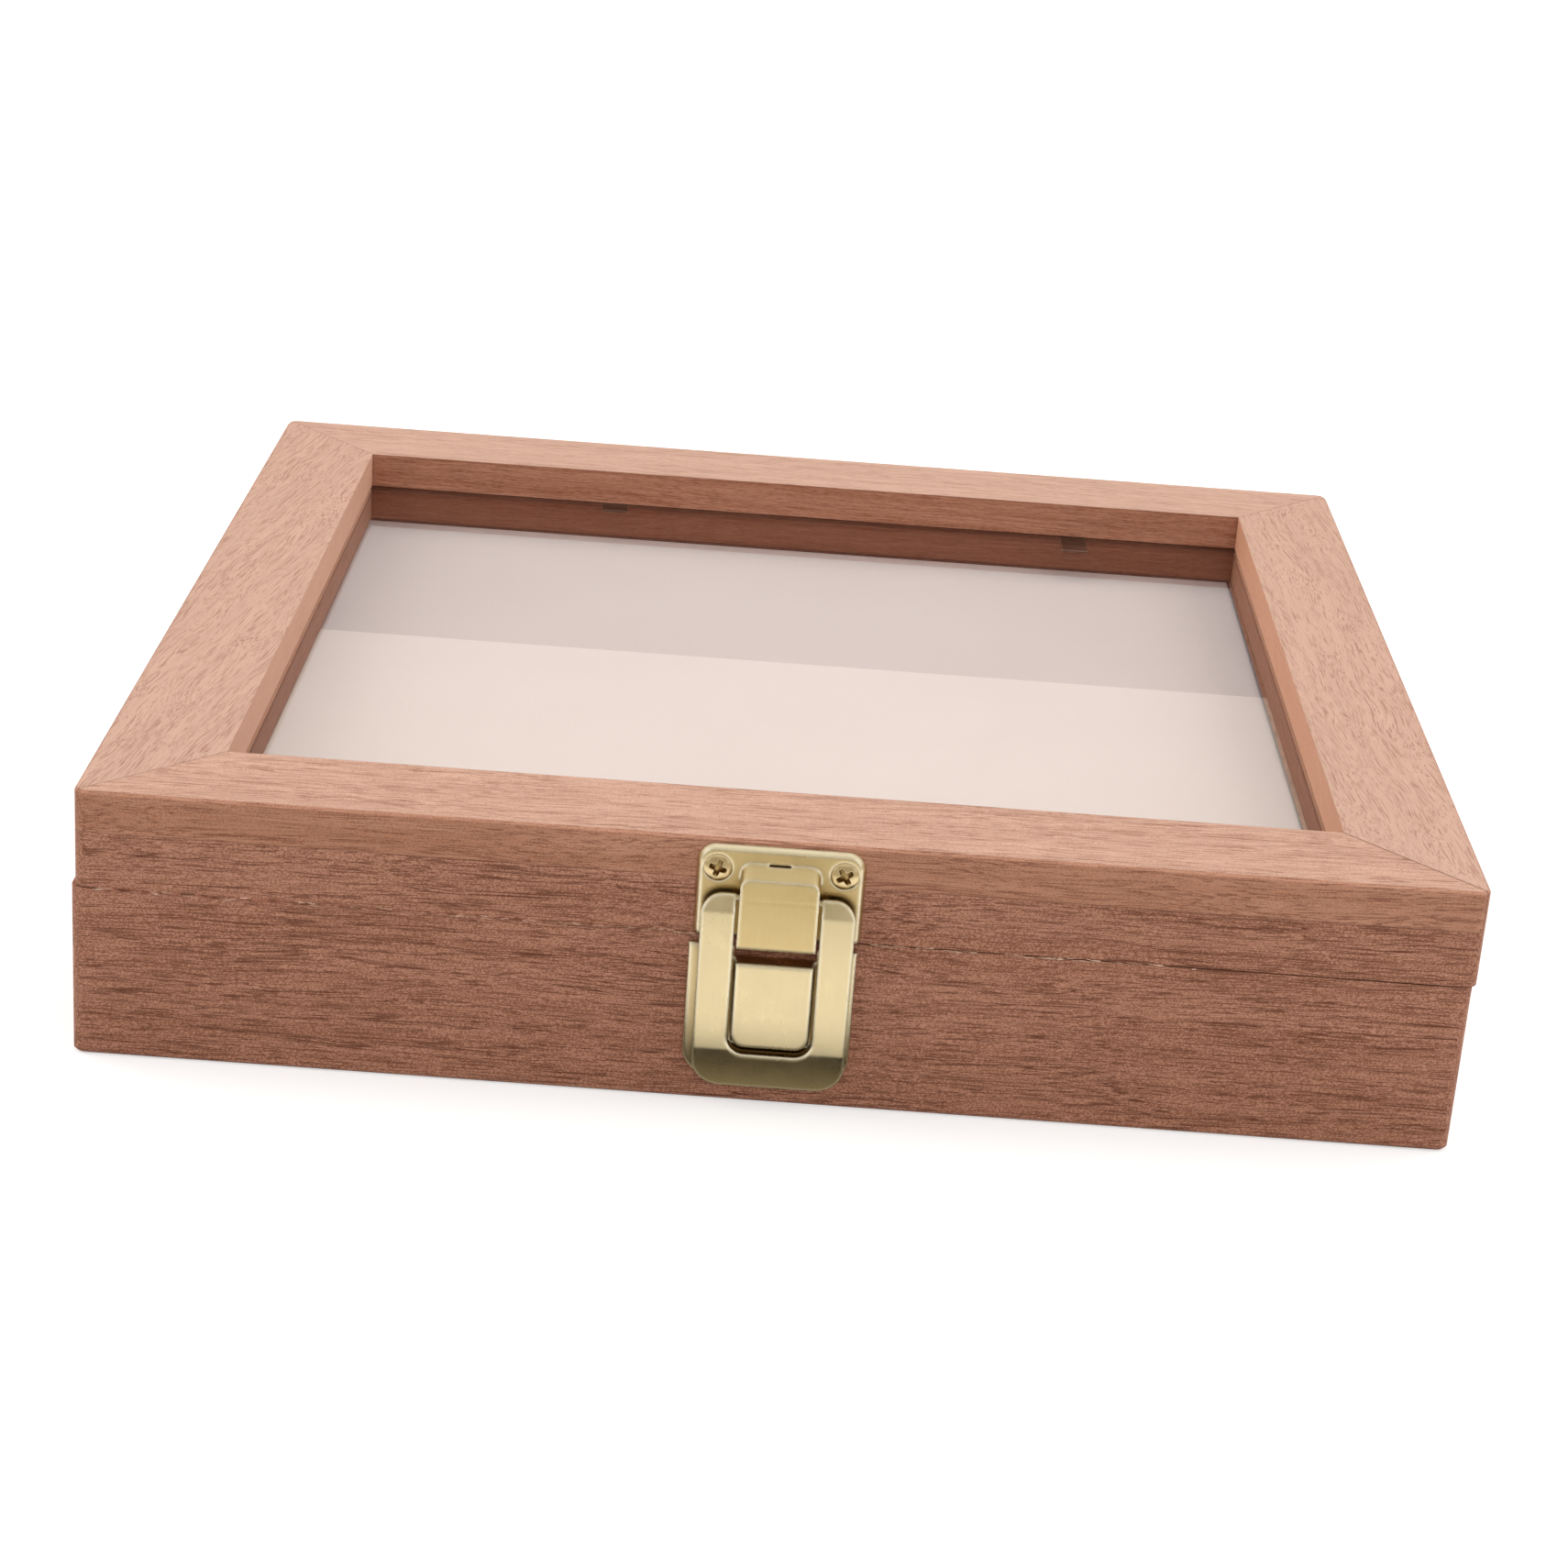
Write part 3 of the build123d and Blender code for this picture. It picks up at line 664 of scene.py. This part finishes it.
def satin_brass():
    group, given, result = new_group("satin_brass", BRASS_INPUTS, BRASS_OUTPUTS)
    in_mm = in_millimetres(group, given["Vector"])
    cloud_values = {"Vector": in_mm, "Scale": 0.22, "Detail": 3.0, "Roughness": 0.6}
    clouds = add(group, "TexNoise", cloud_values).outputs["Fac"]
    lines = stretched_noise(group, in_mm, (5.0, 0.25, 0.25), 2.0)
    specks = add(group, "TexNoise", {"Vector": in_mm, "Scale": 7.0, "Detail": 2.0}).outputs["Fac"]
    rolled_in = calc(group, "MULTIPLY", calc(group, "SUBTRACT", lines, 0.5), 0.4)
    tone = calc(group, "ADD", remap(group, clouds, 0.35, 0.65, 0.40, 0.65), rolled_in)
    tone = calc(group, "SUBTRACT", tone, remap(group, specks, 0.66, 0.74, 0.0, 0.25), clamp=True)
    open_air = add(group, "AmbientOcclusion", {"Distance": crease_reach}, samples=12).outputs["AO"]
    colour = blended(group, tone, given["Dull"], given["Bright"])
    # Painted shade: the inner corners that the occlusion finds are blended towards the Shaded colour.
    colour = blended(group, remap(group, open_air, 0.35, 1.0, smooth=False), given["Shaded"], colour)
    # Painted highlight on the worn edges, partly polish.
    colour = blended(group, calc(group, "MULTIPLY", given["Edge"], 0.85), colour, given["Shine"])
    wander = calc(group, "MULTIPLY", calc(group, "SUBTRACT", clouds, 0.5), 0.25)
    rough = calc(group, "ADD", given["Roughness"], wander)
    rubbed = calc(group, "MULTIPLY", given["Edge"], 0.12)
    grooves = calc(group, "MULTIPLY", lines, 0.6)
    fill(group, result, {
        "Color": colour,
        "Roughness": calc(group, "SUBTRACT", rough, rubbed, clamp=True),
        "Height": calc(group, "ADD", grooves, calc(group, "MULTIPLY", specks, 0.4)),
    })
    return group


brass = satin_brass()
print("group", brass.name, "has", len(brass.nodes), "nodes")

# %% [markdown]
# The catch plate has a bevel along its top edge. It is polished on the real one, and looks up into
# the light, so it is nearly white. The function below paints that highlight into the colour of such
# a slope: it takes only the faces that look upwards and lie above a given height, and leaves the
# shoulder of the pad alone.

# %% Brass pieces
PAINTED_BEVEL_HIGHLIGHT = (1.0, 0.90, 0.64)
bevel_highlight_amount = 0.6


def brass_material(name, bright, dull, roughness, edge_radius, shine=EDGE_POLISH_AND_HIGHLIGHT, shaded=PAINTED_CREASE_SHADE,
                   highlight_above=None):
    made, tree, shader = new_material(name, Metallic=1.0)
    coordinates = add(tree, "TexCoord").outputs
    worn = place_group(tree, edges, {"Radius": edge_radius, "Sharpness": 16.0})
    metal = place_group(tree, brass, {
        "Vector": coordinates["Object"],
        "Bright": opaque(bright),
        "Dull": opaque(dull),
        "Shine": opaque(shine),
        "Shaded": opaque(shaded),
        "Edge": worn["Edge"],
        "Roughness": roughness,
    })
    colour = metal["Color"]
    if highlight_above:
        upward = add(tree, "SeparateXYZ", {0: coordinates["Normal"]}).outputs["Z"]
        level = add(tree, "SeparateXYZ", {0: coordinates["Object"]}).outputs["Z"]
        high = calc(tree, "GREATER_THAN", level, highlight_above)
        slope = calc(tree, "MULTIPLY", remap(tree, upward, 0.2, 0.6, 0.0, bevel_highlight_amount), high)
        # Painted highlight: the upward bevel is paled towards the highlight colour.
        colour = blended(tree, slope, colour, PAINTED_BEVEL_HIGHLIGHT)
    relief = add(tree, "Bump", {
        "Height": metal["Height"], "Normal": worn["Normal"], "Strength": 0.06, "Distance": 0.1 * MM})
    fill(tree, shader, {"Base Color": colour, "Roughness": metal["Roughness"], "Normal": relief.outputs[0]})
    return made


catch_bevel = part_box("catch_plate")[1][2] - 1.6 * MM
HASP_BRASS = brass_material("brass_hasp", (0.80, 0.67, 0.41), (0.68, 0.56, 0.32), 0.30, 0.80 * MM)
CATCH_BRASS = brass_material("brass_catch", (0.72, 0.565, 0.285), (0.61, 0.46, 0.215), 0.30, 0.80 * MM,
                             highlight_above=catch_bevel)
SCREW_BRASS = brass_material("brass_screws", (0.82, 0.66, 0.38), (0.62, 0.47, 0.24), 0.24, 0.10 * MM)
HINGE_BRASS = brass_material("brass_hinges", (0.84, 0.68, 0.38), (0.64, 0.49, 0.26), 0.30, 0.12 * MM)
for piece in nodes:
    if piece in ("keeper_plate", "hasp_ring"):
        finish_node(piece, HASP_BRASS)
    elif piece == "catch_plate":
        finish_node(piece, CATCH_BRASS)
    elif piece.endswith("_screws"):
        finish_node(piece, SCREW_BRASS)
    elif piece.startswith("hinge_"):
        finish_node(piece, HINGE_BRASS)
print("brass pieces:", sorted(n for n in nodes if n.startswith(("hinge_", "catch_", "keeper_", "hasp_"))))

# %% [markdown]
# Two small steel tabs hold the pane against the upper half of the lid. They are blackened, and
# show through the glass as short dark bars at the back. The same two groups serve here with other
# values, because a thin dark oxide over rolled sheet has the same clouds, lines and bright edges.

# %% Blackened steel tabs
steel = brass_material(
    "blackened_steel", (0.055, 0.040, 0.034), (0.020, 0.014, 0.011), 0.45, 0.08 * MM,
    shine=(0.50, 0.43, 0.39), shaded=(0.012, 0.008, 0.006))
finish_node("glass_points", steel)
print("steel for glass_points")

# %% [markdown]
# The CAD screws are plain cones and shanks. The real ones have a low dome and a cross recess whose
# arms grow shallow towards their tips, and two of them are in plain sight. A head like that is a
# height field in polar form: rings from the middle to the rim, each point lowered where an arm of
# the cross passes, so one short formula makes it, and rings below it add the cone and the shank.

# %% Screws
dome_rise = 0.42 * MM
rim_depth = 0.12 * MM
rim_play = 0.04 * MM
shank_ratio = 0.46
# The arms of the cross, as shares of the head's radius: the last two are the width of their
# sloping sides and the length over which they grow shallow.
arm_half_width = 0.23
arm_taper = 0.35
arm_reach = 0.66
arm_depth = 0.50
arm_side = 0.07
arm_run_out = 0.30


def head_height(x, y, radius):
    """Height of a screw head over its rim, for x and y from -1 to 1 across the head."""
    out = min(1.0, math.hypot(x, y))
    dome = dome_rise * (1.0 - out ** 2.4)
    arm = 0.0
    for along, across in ((x, y), (y, x)):
        half_width = arm_half_width * (1.0 - arm_taper * abs(along))
        side = min(1.0, max(0.0, (half_width - abs(across)) / arm_side))
        end = min(1.0, max(0.0, (arm_reach - abs(along)) / arm_run_out))
        arm = max(arm, side * end)
    return dome - arm_depth * radius * arm


def build_screw(mesh, place, radius, length, turn, rings, spokes):
    """Adds one screw to the mesh. The place is a matrix with the screw's axis as its Z."""
    shank = radius * shank_ratio
    angles = [2 * math.pi * spoke / spokes for spoke in range(spokes)]
    directions = [(math.cos(angle), math.sin(angle)) for angle in angles]
    circles = []
    for ring in range(1, rings + 1):
        circle = []
        for cosine, sine in directions:
            x, y = ring / rings * cosine, ring / rings * sine
            turned_x = x * math.cos(turn) - y * math.sin(turn)
            turned_y = x * math.sin(turn) + y * math.cos(turn)
            top = head_height(turned_x, turned_y, radius)
            circle.append(mesh.verts.new(place @ Vector((x * radius, y * radius, top))))
        circles.append(circle)
    for out, depth in ((radius, -rim_depth), (shank, -shank), (shank, -length)):
        circles.append([mesh.verts.new(place @ Vector((out * cosine, out * sine, depth)))
                        for cosine, sine in directions])
    middle = mesh.verts.new(place @ Vector((0, 0, head_height(0, 0, radius))))
    end = mesh.verts.new(place @ Vector((0, 0, -length)))
    for k in range(spokes):
        after = (k + 1) % spokes
        mesh.faces.new((middle, circles[0][k], circles[0][after]))
        mesh.faces.new((end, circles[-1][after], circles[-1][k]))
        for inner, outer in zip(circles, circles[1:]):
            mesh.faces.new((inner[k], outer[k], outer[after], inner[after]))


def new_piece(name, mesh):
    """Turns a finished bmesh into an object of the scene."""
    data = bpy.data.meshes.new(name)
    mesh.to_mesh(data)
    mesh.free()
    made = bpy.data.objects.new(name, data)
    bpy.context.collection.objects.link(made)
    return made


def screws_for(node, body, outward, rings, spokes, turns):
    """Two domed screws in place of a pair of CAD screws, whose box gives their size and place."""
    low, high = (Vector(corner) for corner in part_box(node))
    reach = (high.z - low.z) / 2
    head_y = low.y if outward < 0 else high.y
    mesh = bmesh.new()
    for x, turn in zip((low.x + reach, high.x - reach), turns):
        axis = Matrix.Rotation(math.radians(90 if outward < 0 else -90), 4, "X")
        place = Matrix.Translation((x, head_y, (low.z + high.z) / 2)) @ axis
        build_screw(mesh, place, reach - rim_play, high.y - low.y, turn, rings, spokes)
    for face in mesh.faces:
        face.smooth = True
    made = new_piece(node + "_domed", mesh)
    made.data.materials.append(SCREW_BRASS)
    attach(made, body)
    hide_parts(node)


chance = random.Random(7)
screws_for("catch_screws", "lid", -1, 40, 120, (0.30, -0.55))
screws_for("keeper_screws", "base", -1, 26, 72, (0.9, 0.2))
for side in ("left", "right"):
    for leaf in ("base", "lid"):
        turns = (chance.uniform(0, 1.5), chance.uniform(0, 1.5))
        screws_for("hinge_" + side + "_" + leaf + "_screws", leaf, 1, 20, 56, turns)

# %% [markdown]
# The pane is ordinary float glass, three millimetres thick. Its real thickness matters: it lifts
# the foam under it by about two millimetres to the eye. Light for the foam must get through, and
# path tracing is slow at finding lamps through glass, so shadow and diffuse rays pass straight on
# while the eye still sees refraction. They pass through both faces, so their tint acts twice.

# %% Glass
GLASS_TINT = (0.985, 0.995, 0.99)
PASSING_TINT = (0.93, 0.92, 0.92)
glass, tree = empty_material("float_glass")
clear = add(tree, "BsdfPrincipled", {
    "Base Color": opaque(GLASS_TINT), "Roughness": 0.0, "IOR": 1.5, "Transmission Weight": 1.0})
path = add(tree, "LightPath").outputs
passes = calc(tree, "MAXIMUM", path["Is Shadow Ray"], path["Is Diffuse Ray"])
through = add(tree, "BsdfTransparent", {"Color": opaque(PASSING_TINT)})
pick = add(tree, "MixShader", {0: passes, 1: clear.outputs[0], 2: through.outputs[0]})
add(tree, "OutputMaterial", {"Surface": pick.outputs[0]})
print("glass passes on", PASSING_TINT, "of the light at each face")

# %% [markdown]
# In CAD the pane lies on its ledge with no gap at all, and a ray can't tell which of two faces at
# one height it meets first. So a slab takes its place that stands a hair off the ledge and has its
# edges ground to a slant, as cut glass has. It is four loops of corners, joined by a helper that
# skins any row of loops and closes both ends. The fibres and the thread use it again.

# %% The pane
pane_low, pane_high = (Vector(corner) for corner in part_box("glass_pane"))
pane_lift = 0.04 * MM
ground_edge = 0.35 * MM


def skin(mesh, loops, smooth=False):
    """Joins a row of loops of points, each with as many as the next, and closes both ends."""
    count = len(loops[0])
    for here, there in zip(loops, loops[1:]):
        for k in range(count):
            after = (k + 1) % count
            mesh.faces.new((here[k], here[after], there[after], there[k])).smooth = smooth
    mesh.faces.new(loops[0][::-1])
    mesh.faces.new(loops[-1])


def build_pane():
    mesh = bmesh.new()
    bottom = pane_low.z + pane_lift
    loops = []
    for inset, z in ((ground_edge, bottom), (0.0, bottom + ground_edge),
                     (0.0, pane_high.z - ground_edge), (ground_edge, pane_high.z)):
        left, right = pane_low.x + inset, pane_high.x - inset
        near, far = pane_low.y + inset, pane_high.y - inset
        corners = ((left, near), (right, near), (right, far), (left, far))
        loops.append([mesh.verts.new((x, y, z)) for x, y in corners])
    skin(mesh, loops)
    return new_piece("ground_pane", mesh)


ground_pane = build_pane()
ground_pane.data.materials.append(glass)
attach(ground_pane, "lid")
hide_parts("glass_pane")
print("pane", [round((b - a) / MM, 1) for a, b in zip(pane_low, pane_high)], "mm")

# %% [markdown]
# The bed is a slab of fine cream foam, cut a hair large and pressed into the well. CAD has it as
# a plain block. Here it becomes a closed soft form: a grid whose top is gently crowned and rolls
# over at the rim, sides that pull in a hair between the corners, and a faint unevenness from the
# glue below. A grid bent by a formula gives control over the rim, and the slab is too firm to need
# a cloth simulation.

# %% Foam liner
foam_low, foam_high = (Vector(corner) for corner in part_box("foam_liner"))
foam_middle = (foam_low + foam_high) / 2
foam_half = (foam_high - foam_low) / 2
foam_round = 0.15 * MM
foam_crown = 0.25 * MM
foam_pull = 0.10 * MM
slow_unevenness = 0.10 * MM
fine_unevenness = 0.03 * MM
foam_rim = 0.004
foam_steps = 72


def rolled(steps, roll):
    """Places from -1 to 1, closer together near the ends, where the rim rolls over."""
    places = []
    for i in range(steps + 1):
        t = -1.0 + 2.0 * i / steps
        places.append(math.copysign(1.0 - (1.0 - abs(t)) ** roll, t))
    return places


def foam_top(x, y):
    """Height of the pad's top over its middle, for x and y from -1 to 1."""
    edge = min(1.0 - abs(x), 1.0 - abs(y))
    across = min((1.0 - abs(x)) * foam_half.x, (1.0 - abs(y)) * foam_half.y)
    inside = min(across / foam_round, 1.0)
    roll = foam_round * (1.0 - math.sqrt(max(0.0, 1.0 - (1.0 - inside) ** 2)))
    crown = foam_crown * (1.0 - x ** 4) * (1.0 - y ** 4)
    place = Vector((x * 2.3, y * 2.1, 0.7))
    uneven = slow_unevenness * noise.noise(place) + fine_unevenness * noise.noise(place * 5.0)
    return foam_half.z - roll + (crown + uneven if edge > foam_rim else 0.0)


def build_foam():
    mesh = bmesh.new()
    places = rolled(foam_steps, 1.6)
    top, bottom = {}, {}
    for i, x in enumerate(places):
        for j, y in enumerate(places):
            pull_x = foam_pull * (1.0 - y * y) * abs(x) ** 8
            pull_y = foam_pull * (1.0 - x * x) * abs(y) ** 8
            px = x * foam_half.x - math.copysign(pull_x, x)
            py = y * foam_half.y - math.copysign(pull_y, y)
            top[i, j] = mesh.verts.new(foam_middle + Vector((px, py, foam_top(x, y))))
            bottom[i, j] = mesh.verts.new(foam_middle + Vector((px, py, -foam_half.z)))
    for i in range(foam_steps):
        for j in range(foam_steps):
            mesh.faces.new((top[i, j], top[i + 1, j], top[i + 1, j + 1], top[i, j + 1]))
            mesh.faces.new((bottom[i, j], bottom[i, j + 1], bottom[i + 1, j + 1], bottom[i + 1, j]))
    rim = [(i, 0) for i in range(foam_steps)] + [(foam_steps, j) for j in range(foam_steps)]
    rim += [(i, foam_steps) for i in range(foam_steps, 0, -1)] + [(0, j) for j in range(foam_steps, 0, -1)]
    for here, there in zip(rim, rim[1:] + rim[:1]):
        mesh.faces.new((bottom[here], bottom[there], top[there], top[here]))
    for face in mesh.faces:
        face.smooth = True
    return new_piece("foam_pad", mesh)


foam_pad = build_foam()
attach(foam_pad, "base")
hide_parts("foam_liner")
print("foam pad", len(foam_pad.data.vertices), "points")

# %% [markdown]
# Fine foam is matt and faintly grained: thousands of cut cells, each a fraction of a millimetre.
# A small-scale cell pattern gives that at close range, in the bump and very weakly in the colour,
# and melts into an even cream from afar, where a slow haze takes over. A little sheen stands for
# the fuzz of the cut cell walls.

# %% Foam finish
foam_paint, tree, shader = new_material(
    "cream_foam", Roughness=0.95, Sheen_Weight=0.03, Sheen_Roughness=0.6, Specular_IOR_Level=0.2)
in_mm = in_millimetres(tree, add(tree, "TexCoord").outputs["Object"])
cells = add(tree, "TexVoronoi", {"Vector": in_mm, "Scale": 3.5}).outputs["Distance"]
haze = add(tree, "TexNoise", {"Vector": in_mm, "Scale": 0.035, "Detail": 3.0}).outputs["Fac"]
tone = calc(tree, "ADD", calc(tree, "MULTIPLY", cells, 0.25), remap(tree, haze, 0.3, 0.7, 0.3, 0.7))
cream = blended(tree, tone, (0.712, 0.591, 0.553), (0.752, 0.630, 0.592))
relief = add(tree, "Bump", {"Height": cells, "Strength": 0.25, "Distance": 0.1 * MM})
fill(tree, shader, {"Base Color": cream, "Normal": relief.outputs[0]})
foam_pad.data.materials.append(foam_paint)
print("foam finish has", len(tree.nodes), "nodes")

# %% [markdown]
# The saw that parted the lid from the base left torn fibres along the cut. They are pale, a few
# millimetres long and as thin as a hair, and on the left half of the front they bridge the gap so
# well that it hardly shows. Each is a short crooked sliver, lying on the face of the base with its
# upper edge over the cut. The pull of the saw isn't even, so they come in bunches. A second set,
# broader and as dark as the board, closes the gap where the pale ones are few.

# %% Torn fibres
fibre_count = 150
sliver_count = 170
fibre_proud = 0.08 * MM
fibre_steps = 6
first_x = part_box("lid_rim_front")[0][0] + 1.6 * MM
last_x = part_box("lid_rim_front")[1][0] - 1.6 * MM
cut_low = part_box("base_front")[1][2]
cut_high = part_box("lid_rim_front")[0][2]
# Each bunch has its middle along X and its spread, in metres.
BUNCHES = ((-0.086, 0.008), (-0.066, 0.007), (-0.048, 0.006), (-0.030, 0.008),
           (-0.018, 0.005), (0.024, 0.006), (0.042, 0.007))
SLIVER_BUNCHES = ((-0.090, 0.006), (-0.075, 0.008), (-0.055, 0.009), (-0.035, 0.009), (-0.020, 0.005))


def build_fibres(name, count, bunches, seed, longest, thickest):
    chance = random.Random(seed)
    mesh = bmesh.new()
    for _ in range(count):
        middle, spread = chance.choice(bunches)
        length = chance.uniform(0.2, 1.0) * longest
        x = min(last_x - length, max(first_x + length, chance.gauss(middle, spread)))
        thick = chance.uniform(0.4, 1.0) * thickest
        z = chance.uniform(cut_low - 0.14 * MM, cut_high + 0.04 * MM)
        slope = chance.uniform(-0.09, 0.09)
        y = front_face - fibre_proud * 0.5
        loops = []
        for step in range(fibre_steps + 1):
            t = step / fibre_steps
            taper = thick * math.sin(math.pi * (0.08 + 0.84 * t))
            wander = chance.uniform(-0.06, 0.06) * MM
            centre = Vector((x + (t - 0.5) * length, y, z + slope * (t - 0.5) * length + wander))
            out, rise = Vector((0, fibre_proud, 0)), Vector((0, 0, taper))
            corners = (centre - out, centre + rise, centre + out, centre - rise)
            loops.append([mesh.verts.new(corner) for corner in corners])
        skin(mesh, loops)
    bmesh.ops.recalc_face_normals(mesh, faces=mesh.faces)
    made = new_piece(name, mesh)
    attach(made, "base")
    return made


def fibre_material(name, dark, pale):
    made, tree, shader = new_material(name, Roughness=0.8)
    spot = add(tree, "TexCoord").outputs["Object"]
    shade = add(tree, "TexNoise", {"Vector": spot, "Scale": 900.0, "Detail": 1.0}).outputs["Fac"]
    fill(tree, shader, {"Base Color": blended(tree, remap(tree, shade, 0.35, 0.65), dark, pale)})
    return made


torn_fibres = build_fibres("torn_fibres", fibre_count, BUNCHES, 11, 3.0 * MM, 0.11 * MM)
torn_fibres.data.materials.append(fibre_material("torn_fibre", (0.44, 0.24, 0.15), (0.80, 0.58, 0.44)))
slivers = build_fibres("wood_slivers", sliver_count, SLIVER_BUNCHES, 12, 5.0 * MM, 0.13 * MM)
slivers.data.materials.append(fibre_material("wood_sliver", (0.24, 0.09, 0.048), (0.44, 0.19, 0.115)))
print("torn fibres:", fibre_count, "slivers:", sliver_count)

# %% [markdown]
# A fine stray thread lies on the foam near the front, shed by a duster or a sleeve. It is a tube
# swept along a crooked line, no thicker than a tenth of a millimetre. The line follows the top of
# the foam, sways in two slow waves and lifts off a little here and there.

# %% Stray thread
thread_radius = 0.05 * MM
thread_start = Vector((0.036, -0.066, 0.0))
thread_length = 15 * MM
thread_steps = 40
thread_sides = 6


def thread_point(t):
    x = thread_start.x + thread_length * t
    y = thread_start.y + MM * (1.6 * math.sin(2.2 * t + 0.4) - 1.1 * t + 0.25 * math.sin(9.0 * t))
    foam_x, foam_y = (x - foam_middle.x) / foam_half.x, (y - foam_middle.y) / foam_half.y
    lift = thread_radius * (0.8 + 2.0 * abs(math.sin(3.0 * t)))
    return Vector((x, y, foam_middle.z + foam_top(foam_x, foam_y) + lift))


def build_thread():
    mesh = bmesh.new()
    angles = [k * math.pi / 3 for k in range(thread_sides)]
    loops = []
    for step in range(thread_steps + 1):
        t = step / thread_steps
        here = thread_point(t)
        ahead = (thread_point(min(1.0, t + 0.01)) - thread_point(max(0.0, t - 0.01))).normalized()
        side = ahead.cross(Vector((0, 0, 1))).normalized()
        over = side.cross(ahead)
        rim = [side * math.cos(angle) + over * math.sin(angle) for angle in angles]
        loops.append([mesh.verts.new(here + thread_radius * out) for out in rim])
    skin(mesh, loops, smooth=True)
    bmesh.ops.recalc_face_normals(mesh, faces=mesh.faces)
    return new_piece("stray_thread", mesh)


stray_thread = build_thread()
lint, tree, shader = new_material("grey_lint", Roughness=0.7)
spot = add(tree, "TexCoord").outputs["Object"]
shade = add(tree, "TexNoise", {"Vector": spot, "Scale": 600.0, "Detail": 1.0}).outputs["Fac"]
fill(tree, shader, {"Base Color": blended(tree, shade, (0.36, 0.31, 0.28), (0.62, 0.55, 0.50))})
stray_thread.data.materials.append(lint)
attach(stray_thread, "base")
print("thread of", thread_steps, "steps")
